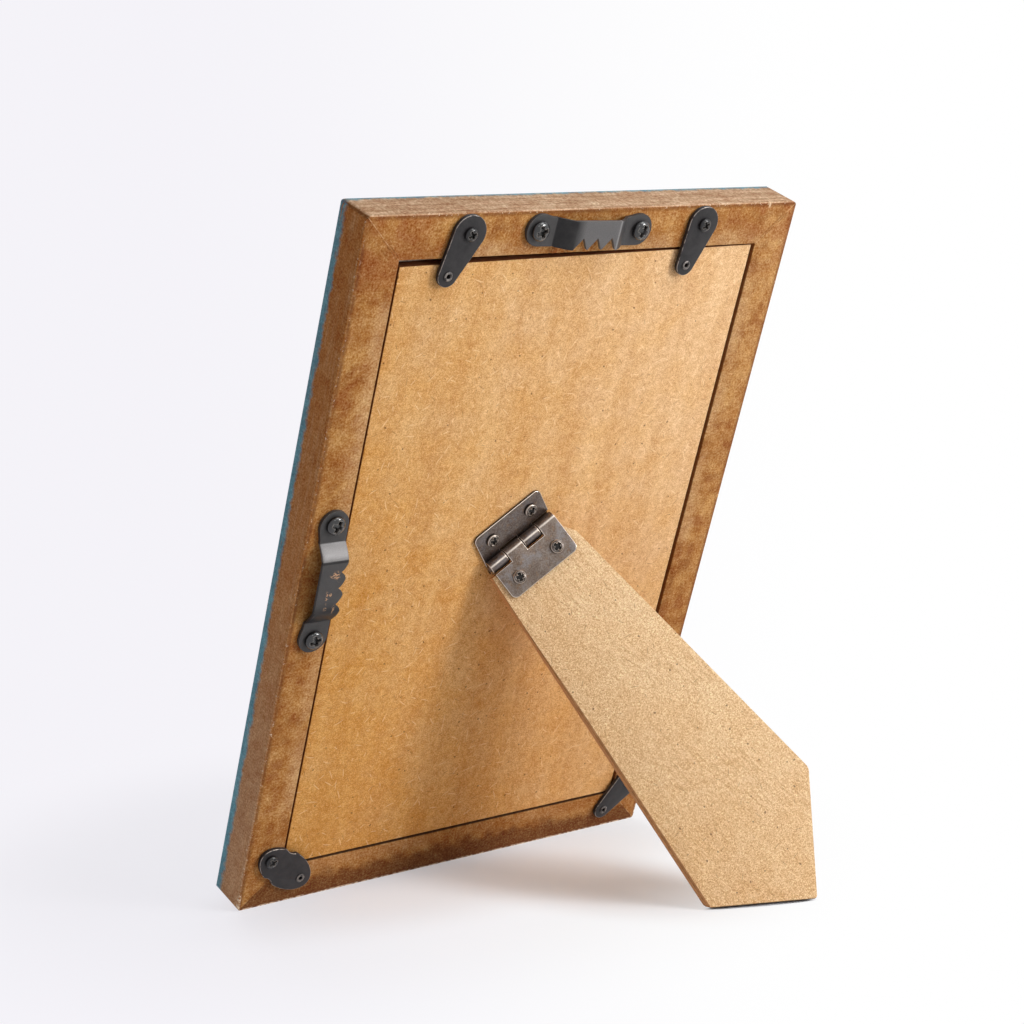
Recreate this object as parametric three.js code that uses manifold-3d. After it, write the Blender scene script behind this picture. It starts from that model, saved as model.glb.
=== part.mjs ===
// A small standing picture frame for a 4 by 6 inch print, leaning back on its easel leg.
// Four mitred rails hold a glass pane, the print and a back panel. Four turn buttons keep the panel in,
// two sawtooth hangers hang the frame upright or on its side, and a diagonal hinge carries the leg.
// Millimetres and degrees. Left and right are as seen from behind, where all the hardware is.

import * as THREE from 'three';
import { mergeVertices } from 'three/addons/utils/BufferGeometryUtils.js';
import Module from 'manifold-3d';

const wasm = await Module();
wasm.setup();

// Print and rails
const printWidth = 101.6;
const printHeight = 152.4;
const printSideClearance = 0.8;
const printEndClearance = 1.55;
const railWidth = 10.4;
const railThickness = 10.6;
const sightLip = 5;
const edgeRound = 0.5;
const cornerRound = 1.6;
const mitreGap = 0.2;

// Layers in the rabbet, from the front
const glassThickness = 1.8;
const glassClearance = 0.6;
const printThickness = 0.3;
const panelThickness = 3;
const panelRecess = 0.4;
const layerGap = 0.2;
const panelSideGap = 0.8;
const panelBottomGap = 0.5;
const panelTopGap = 0.4;
const panelTopDrop = 1.3;

// Stance: how far the frame leans back, and how far the leg swings out from the panel
const leanAngle = 19;
const legOpening = 39.8;

// Easel hinge
const hingeOffset = -1.1;
const hingeHeight = 92.7;
const hingeAngle = 36.3;
const hingeLength = 20.1;
const hingeKnuckles = 4;
const barrelRadius = 1.75;
const leafThickness = 0.6;
const leafReach = 9.4;
const leafCorner = 1.5;
const leafScrewSpacing = 11.7;
const knuckleGap = 0.35;
const pinClearance = 0.2;
const pinOverhang = 0.3;

// Easel leg
const legThickness = 2.8;
const legTopWidth = 21;
const legTopShift = -0.6;
const legChamferRun = 2.4;
const legChamferDrop = 3.9;
const legLeftSplay = 4.4;
const portraitFoot = 27.8;
const landscapeFoot = 31.6;
const footCorner = 1.2;

// Turn buttons
const buttonThickness = 1;
const buttonPivotLobe = 4.3;
const buttonTipLobe = 2.6;
const buttonReach = 10.3;
const ovalLength = 17.9;
const ovalWidth = 9.7;
const ovalPivotInset = 3.1;
const ovalEyeletReach = 11.7;
const ovalNotchReach = 3.4;
const ovalNotchDepth = 0.75;
const ovalNotchRadius = 2.6;
const eyeletRadius = 1.2;
const eyeletRise = 0.35;
const eyeletHole = 0.5;
const topButtonInset = 4.5;
const topLeftButtonFromSide = 26.9;
const topRightButtonFromSide = 29.7;
const cornerButtonInset = 6.35;
const cornerButtonHeight = 14;
const topLeftButtonTurn = 21;
const topRightButtonTurn = 14.4;
const bottomLeftButtonTurn = 36.5;
const bottomRightButtonTurn = 48;

// Sawtooth hangers
const hangerLength = 36;
const hangerWidth = 7.5;
const hangerThickness = 0.8;
const hangerRise = 2.7;
const hangerScrewSpacing = 29.2;
const raisedLength = 12.3;
const hangerRamp = 4;
const hangerWaist = 0.7;
const hangerNotches = 3;
const notchDepth = 2.5;
const topHangerInset = 4.8;
const topHangerShift = -1.5;
const topHangerTilt = -1.5;
const sideHangerInset = 6.2;
const sideHangerShift = 1.1;

// Screws, and the clearances of what is seated or screwed down
const hangerScrewHead = 2.3;
const hangerScrewHeadHeight = 1.3;
const pivotScrewHead = 1.6;
const pivotScrewHeadHeight = 0.9;
const leafScrewHead = 1.5;
const leafScrewHeadHeight = 0.7;
const railScrewShank = 0.9;
const railScrewDepth = 5;
const leafScrewShank = 0.7;
const leafScrewDepth = 2;
const headRimShare = 0.3;
const headShoulder = 0.8;
const headFullness = 0.9;
const recessSpan = 1.1;
const recessWidth = 0.26;
const recessDepth = 0.55;
const holeClearance = 0.25;
const seatGap = 0.2;

// Sizes worked out from these
const frameWidth = printWidth + 2 * (printSideClearance + railWidth);
const frameHeight = printHeight + 2 * (printEndClearance + railWidth);
const rabbetWidth = frameWidth - 2 * railWidth;
const rabbetHeight = frameHeight - 2 * railWidth;
const rabbetDepth = glassThickness + printThickness + panelThickness + 3 * layerGap + panelRecess;
const railDepth = railWidth + sightLip;
const lean = THREE.MathUtils.degToRad(leanAngle);
const opening = THREE.MathUtils.degToRad(legOpening);
const hingeTurn = THREE.MathUtils.degToRad(hingeAngle);
const pinHeight = seatGap + barrelRadius - panelRecess;
const boreRadius = barrelRadius - leafThickness;
const leafRoot = barrelRadius + knuckleGap;
const leafScrewReach = (leafRoot + leafReach) / 2;
const leafScrewPlaces = [-leafScrewSpacing / 2, leafScrewSpacing / 2];
const hangerScrewPlaces = [-hangerScrewSpacing / 2, hangerScrewSpacing / 2];
const legOuterFace = barrelRadius - leafThickness - seatGap;
const curveSegments = 10;
const roundSegments = 20;
const crownSegments = 3;

// Solids: closed geometry in, closed geometry out
function solid(geometry) {
  const bare = geometry.clone();
  bare.deleteAttribute('normal');
  bare.deleteAttribute('uv');
  const merged = mergeVertices(bare);
  const vertProperties = new Float32Array(merged.attributes.position.array);
  const triVerts = new Uint32Array(merged.index.array);
  return new wasm.Manifold(new wasm.Mesh({ numProp: 3, vertProperties, triVerts }));
}

function shell(body) {
  const mesh = body.getMesh();
  const geometry = new THREE.BufferGeometry();
  geometry.setAttribute('position', new THREE.BufferAttribute(mesh.vertProperties, 3));
  geometry.setIndex(new THREE.BufferAttribute(mesh.triVerts, 1));
  geometry.computeVertexNormals();
  return geometry;
}

function cut(base, tools) {
  return tools.reduce((rest, tool) => rest.subtract(solid(tool)), base);
}

// A flat shape, thickened upwards from the given height
function slab(shape, bottom, thickness) {
  const settings = { depth: thickness, bevelEnabled: false, curveSegments };
  return new THREE.ExtrudeGeometry(shape, settings).translate(0, 0, bottom);
}

// A round bar along Z between two heights
function post(radius, x, y, bottom, top) {
  const geometry = new THREE.CylinderGeometry(radius, radius, top - bottom, roundSegments);
  return geometry.rotateX(Math.PI / 2).translate(x, y, (bottom + top) / 2);
}

// A round bar along X between two places
function bar(radius, from, to) {
  const geometry = new THREE.CylinderGeometry(radius, radius, to - from, roundSegments);
  return geometry.rotateZ(Math.PI / 2).translate((from + to) / 2, 0, 0);
}

function rectangle(left, bottom, right, top) {
  const shape = new THREE.Shape();
  shape.moveTo(left, bottom);
  shape.lineTo(right, bottom);
  shape.lineTo(right, top);
  shape.lineTo(left, top);
  return shape;
}

// A closed outline through corner points [x, y, radius], with each corner rounded
function roundedOutline(corners) {
  const shape = new THREE.Shape();
  corners.forEach(([x, y, radius], index) => {
    const here = new THREE.Vector2(x, y);
    const before = new THREE.Vector2(...corners[(index + corners.length - 1) % corners.length]);
    const after = new THREE.Vector2(...corners[(index + 1) % corners.length]);
    const arrive = before.sub(here).setLength(radius).add(here);
    const leave = after.sub(here).setLength(radius).add(here);
    const draw = index === 0 ? 'moveTo' : 'lineTo';
    shape[draw](arrive.x, arrive.y);
    if (radius > 0) {
      shape.quadraticCurveTo(x, y, leave.x, leave.y);
    }
  });
  return shape;
}

function finish(color, roughness, metalness) {
  return new THREE.MeshStandardMaterial({ color, roughness, metalness });
}

const stainedRail = () => finish(0xa06c3c, 0.7, 0);
const bareBoard = () => finish(0xc99a5f, 0.85, 0);
const blackSteel = () => finish(0x3a3838, 0.5, 0.6);
const agedSteel = () => finish(0x5a4f49, 0.4, 0.85);
const clearGlass = () => finish(0xdfeeea, 0.05, 0);
const printPaper = () => finish(0xe9e2d2, 0.6, 0);

function part(name, geometry, material, parent) {
  const mesh = new THREE.Mesh(geometry, material);
  mesh.name = name;
  parent.add(mesh);
  return mesh;
}

function groupAt(parent, x, y, z, turn = 0) {
  const group = new THREE.Group();
  group.position.set(x, y, z);
  group.rotation.z = turn;
  parent.add(group);
  return group;
}

// Rails. On a rail, X runs along its outer edge from the middle, Y runs inwards and Z out of the back.
function railProfile() {
  return roundedOutline([
    [0, 0, edgeRound],
    [0, -railThickness, edgeRound],
    [railDepth, -railThickness, edgeRound],
    [railDepth, -rabbetDepth, 0],
    [railWidth, -rabbetDepth, 0],
    [railWidth, 0, 0],
  ]);
}

// Plan of a rail: mitred at both ends, with its half of each rounded frame corner
function railPlan(length) {
  const tip = length / 2 - mitreGap * Math.SQRT1_2;
  const shape = new THREE.Shape();
  shape.absarc(tip - cornerRound, cornerRound, cornerRound, -Math.PI / 2, -Math.PI / 4);
  shape.lineTo(tip - railDepth, railDepth);
  shape.lineTo(railDepth - tip, railDepth);
  shape.absarc(cornerRound - tip, cornerRound, cornerRound, -3 * Math.PI / 4, -Math.PI / 2);
  return shape;
}

function railSolid(length, screwPlaces) {
  const along = new THREE.Vector3(1, 0, 0);
  const inwards = new THREE.Vector3(0, 1, 0);
  const outwards = new THREE.Vector3(0, 0, 1);
  const stock = slab(railProfile(), -length / 2, length);
  stock.applyMatrix4(new THREE.Matrix4().makeBasis(inwards, outwards, along));
  const plan = slab(railPlan(length), -2 * railThickness, 3 * railThickness);
  const mitred = solid(stock).intersect(solid(plan));
  const holeRadius = railScrewShank + holeClearance;
  const holeBottom = -railScrewDepth - holeClearance;
  return cut(mitred, screwPlaces.map(([x, y]) => post(holeRadius, x, y, holeBottom, railThickness)));
}

// A cross-recess screw that stands on Z = 0, its shank below and its domed head above
function screwSolid(headRadius, headHeight, shankRadius, shankLength) {
  const rim = headHeight * headRimShare;
  const shoulder = rim + (headHeight - rim) * headFullness;
  const profile = new THREE.Path();
  profile.moveTo(0, -shankLength);
  profile.lineTo(shankRadius, shankRadius - shankLength);
  profile.lineTo(shankRadius, 0);
  profile.lineTo(headRadius, 0);
  profile.lineTo(headRadius, rim);
  profile.quadraticCurveTo(headRadius * headShoulder, shoulder, 0, headHeight);
  const turned = new THREE.LatheGeometry(profile.getPoints(crownSegments), roundSegments);
  const span = headRadius * recessSpan;
  const width = headRadius * recessWidth;
  const tall = 2 * headHeight * recessDepth;
  const slots = [
    new THREE.BoxGeometry(span, width, tall).translate(0, 0, headHeight),
    new THREE.BoxGeometry(width, span, tall).translate(0, 0, headHeight),
  ];
  return cut(solid(turned.rotateX(Math.PI / 2)), slots);
}

function railScrew(headRadius, headHeight, plateThickness) {
  const shankLength = seatGap + plateThickness + seatGap + railScrewDepth;
  return screwSolid(headRadius, headHeight, railScrewShank, shankLength);
}

// Sawtooth hanger: round end tabs on the rail, a raised middle with notches along its inner edge
function hangerSide() {
  const tabEnd = hangerLength / 2;
  const low = seatGap;
  const high = seatGap + hangerRise;
  const inner = raisedLength / 2;
  const outer = inner + hangerRamp;
  const shape = new THREE.Shape();
  shape.moveTo(-tabEnd, low);
  shape.lineTo(-outer, low);
  shape.lineTo(-inner, high);
  shape.lineTo(inner, high);
  shape.lineTo(outer, low);
  shape.lineTo(tabEnd, low);
  shape.lineTo(tabEnd, low + hangerThickness);
  shape.lineTo(outer, low + hangerThickness);
  shape.lineTo(inner, high + hangerThickness);
  shape.lineTo(-inner, high + hangerThickness);
  shape.lineTo(-outer, low + hangerThickness);
  shape.lineTo(-tabEnd, low + hangerThickness);
  return shape;
}

function hangerPlan() {
  const half = hangerWidth / 2;
  const straight = hangerLength / 2 - half;
  const back = hangerWaist - half;
  const neck = raisedLength / 2 + hangerRamp;
  const pitch = raisedLength / hangerNotches;
  const shape = new THREE.Shape();
  shape.moveTo(neck, back);
  shape.lineTo(straight, -half);
  shape.absarc(straight, 0, half, -Math.PI / 2, Math.PI / 2);
  shape.lineTo(raisedLength / 2, half);
  for (let notch = 0; notch < hangerNotches; notch += 1) {
    const mouth = raisedLength / 2 - notch * pitch;
    shape.lineTo(mouth - pitch / 2, half - notchDepth);
    shape.lineTo(mouth - pitch, half);
  }
  shape.absarc(-straight, 0, half, Math.PI / 2, 3 * Math.PI / 2);
  shape.lineTo(-neck, back);
  return shape;
}

function hangerSolid() {
  const strip = slab(hangerSide(), -hangerWidth / 2, hangerWidth).rotateX(Math.PI / 2);
  const top = 2 * (hangerRise + hangerThickness);
  const stamped = solid(strip).intersect(solid(slab(hangerPlan(), 0, top)));
  const holeRadius = railScrewShank + holeClearance;
  return cut(stamped, hangerScrewPlaces.map((x) => post(holeRadius, x, 0, 0, top)));
}

// Where a hanger's screws go, on the rail that carries it
function hangerScrewsOn(along, inset, tilt) {
  return hangerScrewPlaces.map((x) => [along + x * Math.cos(tilt), inset + x * Math.sin(tilt)]);
}

function addHanger(rail, name, [along, inset, tilt], screwNames) {
  const hanger = groupAt(rail, along, inset, 0, tilt);
  part(name, shell(hangerSolid()), blackSteel(), hanger);
  hangerScrewPlaces.forEach((x, index) => {
    const screw = railScrew(hangerScrewHead, hangerScrewHeadHeight, hangerThickness);
    const mesh = part(screwNames[index], shell(screw), blackSteel(), hanger);
    mesh.position.set(x, 0, 2 * seatGap + hangerThickness);
  });
}

// Turn buttons: pivot at the origin, tip towards +Y
function buttonPlan() {
  const slant = Math.asin((buttonPivotLobe - buttonTipLobe) / buttonReach);
  const shape = new THREE.Shape();
  shape.absarc(0, 0, buttonPivotLobe, Math.PI - slant, 2 * Math.PI + slant);
  shape.absarc(0, buttonReach, buttonTipLobe, slant, Math.PI - slant);
  return shape;
}

// A button plate with its pivot hole, and a raised eyelet at the given reach from the pivot
function fittedButton(plate, reach) {
  const top = seatGap + buttonThickness + eyeletRise;
  const rim = solid(post(eyeletRadius, 0, reach, seatGap, top));
  const holes = [
    post(railScrewShank + holeClearance, 0, 0, 0, 2 * top),
    post(eyeletHole, 0, reach, 0, 2 * top),
  ];
  return cut(plate.add(rim), holes);
}

function buttonSolid() {
  return fittedButton(solid(slab(buttonPlan(), seatGap, buttonThickness)), buttonReach);
}

// The wide oval button of one corner, nicked on both sides of its pivot end
function ovalButtonSolid() {
  const centre = ovalLength / 2 - ovalPivotInset;
  const top = seatGap + 2 * buttonThickness;
  const shape = new THREE.Shape();
  shape.absellipse(0, centre, ovalWidth / 2, ovalLength / 2, 0, 2 * Math.PI);
  const halfWidth = ovalWidth / 2 * Math.sqrt(1 - ((centre - ovalNotchReach) / (ovalLength / 2)) ** 2);
  const notchSide = halfWidth - ovalNotchDepth + ovalNotchRadius;
  const notches = [
    post(ovalNotchRadius, notchSide, ovalNotchReach, 0, top),
    post(ovalNotchRadius, -notchSide, ovalNotchReach, 0, top),
  ];
  const plate = cut(solid(slab(shape, seatGap, buttonThickness)), notches);
  return fittedButton(plate, ovalEyeletReach);
}

function addTurnButton(rail, place, [x, y], turnDegrees, button) {
  const pivot = groupAt(rail, x, y, 0);
  const mesh = part(`turn_button_${place}`, shell(button), blackSteel(), pivot);
  mesh.rotation.z = THREE.MathUtils.degToRad(turnDegrees);
  const screw = railScrew(pivotScrewHead, pivotScrewHeadHeight, buttonThickness);
  const screwMesh = part(`pivot_screw_${place}`, shell(screw), blackSteel(), pivot);
  screwMesh.position.z = 2 * seatGap + buttonThickness;
}

// Hinge leaf: its plate lies towards +Y under the barrel, and every second knuckle is its own
function leafSolid(firstKnuckle) {
  const half = hingeLength / 2;
  const pitch = hingeLength / hingeKnuckles;
  const bottom = -barrelRadius;
  const plate = roundedOutline([
    [-half, leafRoot, 0],
    [half, leafRoot, 0],
    [half, leafReach, leafCorner],
    [-half, leafReach, leafCorner],
  ]);
  let body = solid(slab(plate, bottom, leafThickness));
  for (let knuckle = firstKnuckle; knuckle < hingeKnuckles; knuckle += 2) {
    const from = -half + knuckle * pitch + (knuckle > 0 ? knuckleGap / 2 : 0);
    const to = -half + (knuckle + 1) * pitch - (knuckle < hingeKnuckles - 1 ? knuckleGap / 2 : 0);
    const strap = slab(rectangle(from, 0, to, leafRoot + knuckleGap), bottom, leafThickness);
    body = body.add(solid(strap)).add(solid(bar(barrelRadius, from, to)));
  }
  const holeRadius = leafScrewShank + holeClearance;
  const holes = leafScrewPlaces.map((x) => post(holeRadius, x, leafScrewReach, 2 * bottom, 0));
  return cut(body, [bar(boreRadius, -hingeLength, hingeLength), ...holes]);
}

function leafScrew() {
  const shankLength = seatGap + leafThickness + seatGap + leafScrewDepth;
  return screwSolid(leafScrewHead, leafScrewHeadHeight, leafScrewShank, shankLength);
}

// Screws of one leaf, set on its outer face at the given height, on the given side of the pin
function addLeafScrews(parent, name, side, height) {
  leafScrewPlaces.forEach((x, index) => {
    const mesh = part(`${name}_${index === 0 ? 'lower' : 'upper'}`, shell(leafScrew()), agedSteel(), parent);
    mesh.position.set(x, side * leafScrewReach, height + seatGap);
  });
}

// The leg in its own frame: the pin along X, the leg towards -Y, its outer face up.
// Its portrait foot is cut along the floor, and the landscape foot is square to that.
function legOutline(hingePlace, floorHeight) {
  const toLeg = new THREE.Quaternion().setFromEuler(new THREE.Euler(0, 0, hingeTurn));
  toLeg.multiply(new THREE.Quaternion().setFromEuler(new THREE.Euler(-opening, 0, 0))).invert();
  const up = new THREE.Vector3(0, Math.cos(lean), -Math.sin(lean));
  const floor = new THREE.Plane(up, -floorHeight).translate(hingePlace.clone().negate());
  floor.normal.applyQuaternion(toLeg);
  const footing = floor.constant + floor.normal.z * (legOuterFace - legThickness);
  const floorY = (x) => -(footing + floor.normal.x * x) / floor.normal.y;

  const top = -leafRoot;
  const topLeft = new THREE.Vector2(legTopShift - legTopWidth / 2, top);
  const topRight = new THREE.Vector2(legTopShift + legTopWidth / 2, top);
  const splay = Math.tan(THREE.MathUtils.degToRad(legLeftSplay));
  const slope = floorY(1) - floorY(0);
  const heelY = (floorY(topLeft.x) + slope * splay * -top) / (1 - slope * splay);
  const heel = new THREE.Vector2(topLeft.x - splay * (top - heelY), heelY);
  const alongFoot = new THREE.Vector2(1, slope).normalize();
  const upFoot = new THREE.Vector2(-alongFoot.y, alongFoot.x);
  const toe = heel.clone().addScaledVector(alongFoot, portraitFoot);
  const shoulder = toe.clone().addScaledVector(upFoot, landscapeFoot);
  return roundedOutline([
    [topLeft.x, topLeft.y, 0],
    [heel.x, heel.y, footCorner],
    [toe.x, toe.y, footCorner],
    [shoulder.x, shoulder.y, footCorner],
    [topRight.x + legChamferRun, topRight.y - legChamferDrop, 0],
    [topRight.x, topRight.y, 0],
  ]);
}

function legSolid(hingePlace, floorHeight) {
  const outline = legOutline(hingePlace, floorHeight);
  const board = solid(slab(outline, legOuterFace - legThickness, legThickness));
  const holeRadius = leafScrewShank + holeClearance;
  const holeBottom = legOuterFace - leafScrewDepth - holeClearance;
  const holes = leafScrewPlaces.map((x) => post(holeRadius, x, -leafScrewReach, holeBottom, barrelRadius));
  return cut(board, holes);
}

// The back panel in its place; its top edge falls away to the left
function panelSolid(hingePlace) {
  const half = rabbetWidth / 2 - panelSideGap;
  const bottom = railWidth + panelBottomGap;
  const top = frameHeight - railWidth - panelTopGap;
  const outline = roundedOutline([
    [-half, bottom, 0],
    [half, bottom, 0],
    [half, top, 0],
    [-half, top - panelTopDrop, 0],
  ]);
  const board = solid(slab(outline, -panelRecess - panelThickness, panelThickness));
  const holeBottom = -panelRecess - leafScrewDepth - holeClearance;
  const holes = leafScrewPlaces.map((x) => {
    const place = new THREE.Vector2(x, leafScrewReach);
    place.rotateAround(new THREE.Vector2(), hingeTurn).add(hingePlace);
    return post(leafScrewShank + holeClearance, place.x, place.y, holeBottom, panelThickness);
  });
  return cut(board, holes);
}

// The frame is drawn as seen from behind: X to the right, Y up the frame and Z out of its back
const pictureFrame = new THREE.Group();
const leaning = new THREE.Group();
leaning.rotation.x = -lean;
pictureFrame.add(leaning);
const backView = new THREE.Group();
backView.setRotationFromAxisAngle(new THREE.Vector3(0, 1, 1).normalize(), Math.PI);
leaning.add(backView);

// Where each fastening sits, on its own rail
const topLeftPivot = [frameWidth / 2 - topLeftButtonFromSide, topButtonInset];
const topRightPivot = [topRightButtonFromSide - frameWidth / 2, topButtonInset];
const bottomLeftPivot = [frameHeight / 2 - cornerButtonHeight, cornerButtonInset];
const bottomRightPivot = [cornerButtonHeight - frameHeight / 2, cornerButtonInset];
const topHangerPlace = [-topHangerShift, topHangerInset, THREE.MathUtils.degToRad(topHangerTilt)];
const sideHangerPlace = [-sideHangerShift, sideHangerInset, 0];

const rails = {
  bottom: groupAt(backView, 0, 0, 0),
  right: groupAt(backView, frameWidth / 2, frameHeight / 2, 0, Math.PI / 2),
  top: groupAt(backView, 0, frameHeight, 0, Math.PI),
  left: groupAt(backView, -frameWidth / 2, frameHeight / 2, 0, -Math.PI / 2),
};
const topScrews = [topLeftPivot, topRightPivot, ...hangerScrewsOn(...topHangerPlace)];
const leftScrews = [bottomLeftPivot, ...hangerScrewsOn(...sideHangerPlace)];
part('bottom_rail', shell(railSolid(frameWidth, [])), stainedRail(), rails.bottom);
part('right_rail', shell(railSolid(frameHeight, [bottomRightPivot])), stainedRail(), rails.right);
part('top_rail', shell(railSolid(frameWidth, topScrews)), stainedRail(), rails.top);
part('left_rail', shell(railSolid(frameHeight, leftScrews)), stainedRail(), rails.left);

addTurnButton(rails.top, 'top_left', topLeftPivot, -topLeftButtonTurn, buttonSolid());
addTurnButton(rails.top, 'top_right', topRightPivot, -topRightButtonTurn, buttonSolid());
addTurnButton(rails.left, 'bottom_left', bottomLeftPivot, -bottomLeftButtonTurn, ovalButtonSolid());
addTurnButton(rails.right, 'bottom_right', bottomRightPivot, bottomRightButtonTurn, buttonSolid());

const topScrewNames = ['top_hanger_screw_right', 'top_hanger_screw_left'];
const sideScrewNames = ['side_hanger_screw_upper', 'side_hanger_screw_lower'];
addHanger(rails.top, 'top_hanger', topHangerPlace, topScrewNames);
addHanger(rails.left, 'side_hanger', sideHangerPlace, sideScrewNames);

// Glass, print and panel, from the lip outwards
const middle = frameHeight / 2;
const glassBack = -rabbetDepth + layerGap + glassThickness;
const printBack = glassBack + layerGap + printThickness;
const glassWidth = rabbetWidth - 2 * glassClearance;
const glassHeight = rabbetHeight - 2 * glassClearance;
const pane = new THREE.BoxGeometry(glassWidth, glassHeight, glassThickness);
const glass = part('glass_pane', pane, clearGlass(), backView);
glass.position.set(0, middle, glassBack - glassThickness / 2);
const sheet = new THREE.BoxGeometry(printWidth, printHeight, printThickness);
const print = part('photo_print', sheet, printPaper(), backView);
print.position.set(0, middle, printBack - printThickness / 2);

// Hinge and leg. The frame stands on the rounded lower back edge of its bottom rail.
const hingePlace = new THREE.Vector3(hingeOffset, hingeHeight, pinHeight);
const floorHeight = edgeRound * (Math.cos(lean) + Math.sin(lean) - 1);
part('back_panel', shell(panelSolid(hingePlace)), bareBoard(), backView);

const hinge = groupAt(backView, hingePlace.x, hingePlace.y, hingePlace.z, hingeTurn);
part('hinge_fixed_leaf', shell(leafSolid(0)), agedSteel(), hinge);
addLeafScrews(hinge, 'hinge_fixed_screw', 1, leafThickness - barrelRadius);
const pinEnd = hingeLength / 2 + pinOverhang;
part('hinge_pin', bar(boreRadius - pinClearance, -pinEnd, pinEnd), agedSteel(), hinge);

const leg = groupAt(hinge, 0, 0, 0);
leg.rotation.x = -opening;
const movingLeaf = part('hinge_moving_leaf', shell(leafSolid(1)), agedSteel(), leg);
movingLeaf.rotation.x = Math.PI;
addLeafScrews(leg, 'hinge_moving_screw', -1, barrelRadius);
part('easel_leg', shell(legSolid(hingePlace, floorHeight)), bareBoard(), leg);

// The origin is on the floor, under the middle of the whole object
const extent = new THREE.Box3().setFromObject(pictureFrame, true);
const extentMiddle = extent.getCenter(new THREE.Vector3());
leaning.position.set(-extentMiddle.x, -extentMiddle.y, -extent.min.z);

export default pictureFrame;
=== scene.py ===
"""Looks of a small standing picture frame, seen from behind on its easel leg.

Sizes in the classes are millimetres, and finished meshes are metres in the row frame.
Left and right are as seen from behind, where all the hardware is.
"""

import logging
import math
from dataclasses import dataclass, field
from enum import Enum
from functools import partial, reduce
from typing import Iterable, Sequence

import bmesh
import bpy
from mathutils import Matrix, Vector


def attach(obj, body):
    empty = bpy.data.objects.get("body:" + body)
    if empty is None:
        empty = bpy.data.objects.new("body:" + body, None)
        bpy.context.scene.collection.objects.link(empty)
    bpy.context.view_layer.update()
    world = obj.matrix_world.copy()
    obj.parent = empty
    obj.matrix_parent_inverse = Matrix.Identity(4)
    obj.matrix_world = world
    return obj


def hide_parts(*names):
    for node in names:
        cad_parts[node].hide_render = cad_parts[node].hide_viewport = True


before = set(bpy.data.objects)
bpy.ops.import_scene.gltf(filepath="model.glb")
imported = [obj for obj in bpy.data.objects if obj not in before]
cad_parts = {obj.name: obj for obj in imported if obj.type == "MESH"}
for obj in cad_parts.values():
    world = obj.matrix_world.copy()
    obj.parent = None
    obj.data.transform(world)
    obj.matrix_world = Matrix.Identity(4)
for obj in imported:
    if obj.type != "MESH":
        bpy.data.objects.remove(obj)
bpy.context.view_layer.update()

LOG = logging.getLogger("picture_frame")
MM = 0.001
NEAR = 1e-4
ROUNDED = 0.9
GAMMA = 2.2
WEAR = "wear"
# Mark of a board's cut sides, and of painted shade on cut sides of metal, under screw heads and in their
# recesses.
SIDE_AND_SHADE = "side"
# Mark where metal is rubbed bright, and where sheen and highlights are painted on as light caught by the
# metal.
POLISH_AND_SHEEN = "polish_and_sheen"

Socket = bpy.types.NodeSocket
Value = Socket | float | tuple
Stops = Sequence[tuple[float, tuple]]


def tint(red: int, green: int, blue: int) -> tuple:
    """Turns a screen colour of 0 to 255 a channel into a linear colour.

    Args:
        red: red channel.
        green: green channel.
        blue: blue channel.

    Returns:
        Linear red, green, blue and an alpha of 1.
    """
    def linear(channel: int) -> float:
        """One channel, linear."""
        share = channel / 255
        return share / 12.92 if share <= 0.04045 else ((share + 0.055) / 1.055) ** 2.4

    return linear(red), linear(green), linear(blue), 1.0


def at(x: float, y: float, z: float = 0.0, turn: float = 0.0) -> Matrix:
    """The matrix from a place, turned about Z by degrees, to its parent's frame, in millimetres."""
    return Matrix.Translation((x, y, z)) @ Matrix.Rotation(math.radians(turn), 4, "Z")


def placed(name: str, data: bpy.types.ID) -> bpy.types.Object:
    """Adds an object to the scene, at the origin.

    Args:
        name: its name.
        data: its mesh, light or camera.

    Returns:
        The object.
    """
    item = bpy.data.objects.new(name, data)
    bpy.context.scene.collection.objects.link(item)
    return item


@dataclass(frozen=True)
class Stance:
    """How the frame stands: its size over the rails, its lean, and where its lower back edge is."""

    width: float = 124.0
    height: float = 176.3
    lean: float = 19.0
    foot: tuple = (0.0, -34.2687, -0.1223)

    def back(self) -> Matrix:
        """The back view: X to the right, Y up the frame, Z out of the back, from its lower middle.

        Returns:
            The matrix from that view to the row frame, both in millimetres.
        """
        lean = math.radians(self.lean)
        turned = Matrix((
            (-1, 0, 0, 0),
            (0, math.sin(lean), math.cos(lean), 0),
            (0, math.cos(lean), -math.sin(lean), 0),
            (0, 0, 0, 1),
        ))
        return Matrix.Translation(self.foot) @ turned

    def rail(self, side: "Side") -> Matrix:
        """A rail's frame: X along its outer edge from the middle, Y inwards, Z out of the back.

        Args:
            side: which rail.

        Returns:
            The matrix from the rail's frame to the row frame.
        """
        places = {
            Side.BOTTOM: at(0, 0),
            Side.RIGHT: at(self.width / 2, self.height / 2, 0, 90),
            Side.TOP: at(0, self.height, 0, 180),
            Side.LEFT: at(-self.width / 2, self.height / 2, 0, -90),
        }
        return self.back() @ places[side]


class Side(Enum):
    """The four rails."""

    TOP = "top"
    BOTTOM = "bottom"
    LEFT = "left"
    RIGHT = "right"


class Run(Enum):
    """Which way a board's streaks run in the back view."""

    ACROSS = "across"
    UP = "up"


class Teeth(Enum):
    """How a hanger's notched edge is cut."""

    POINTED = "pointed"
    ROUND = "round"


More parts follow.
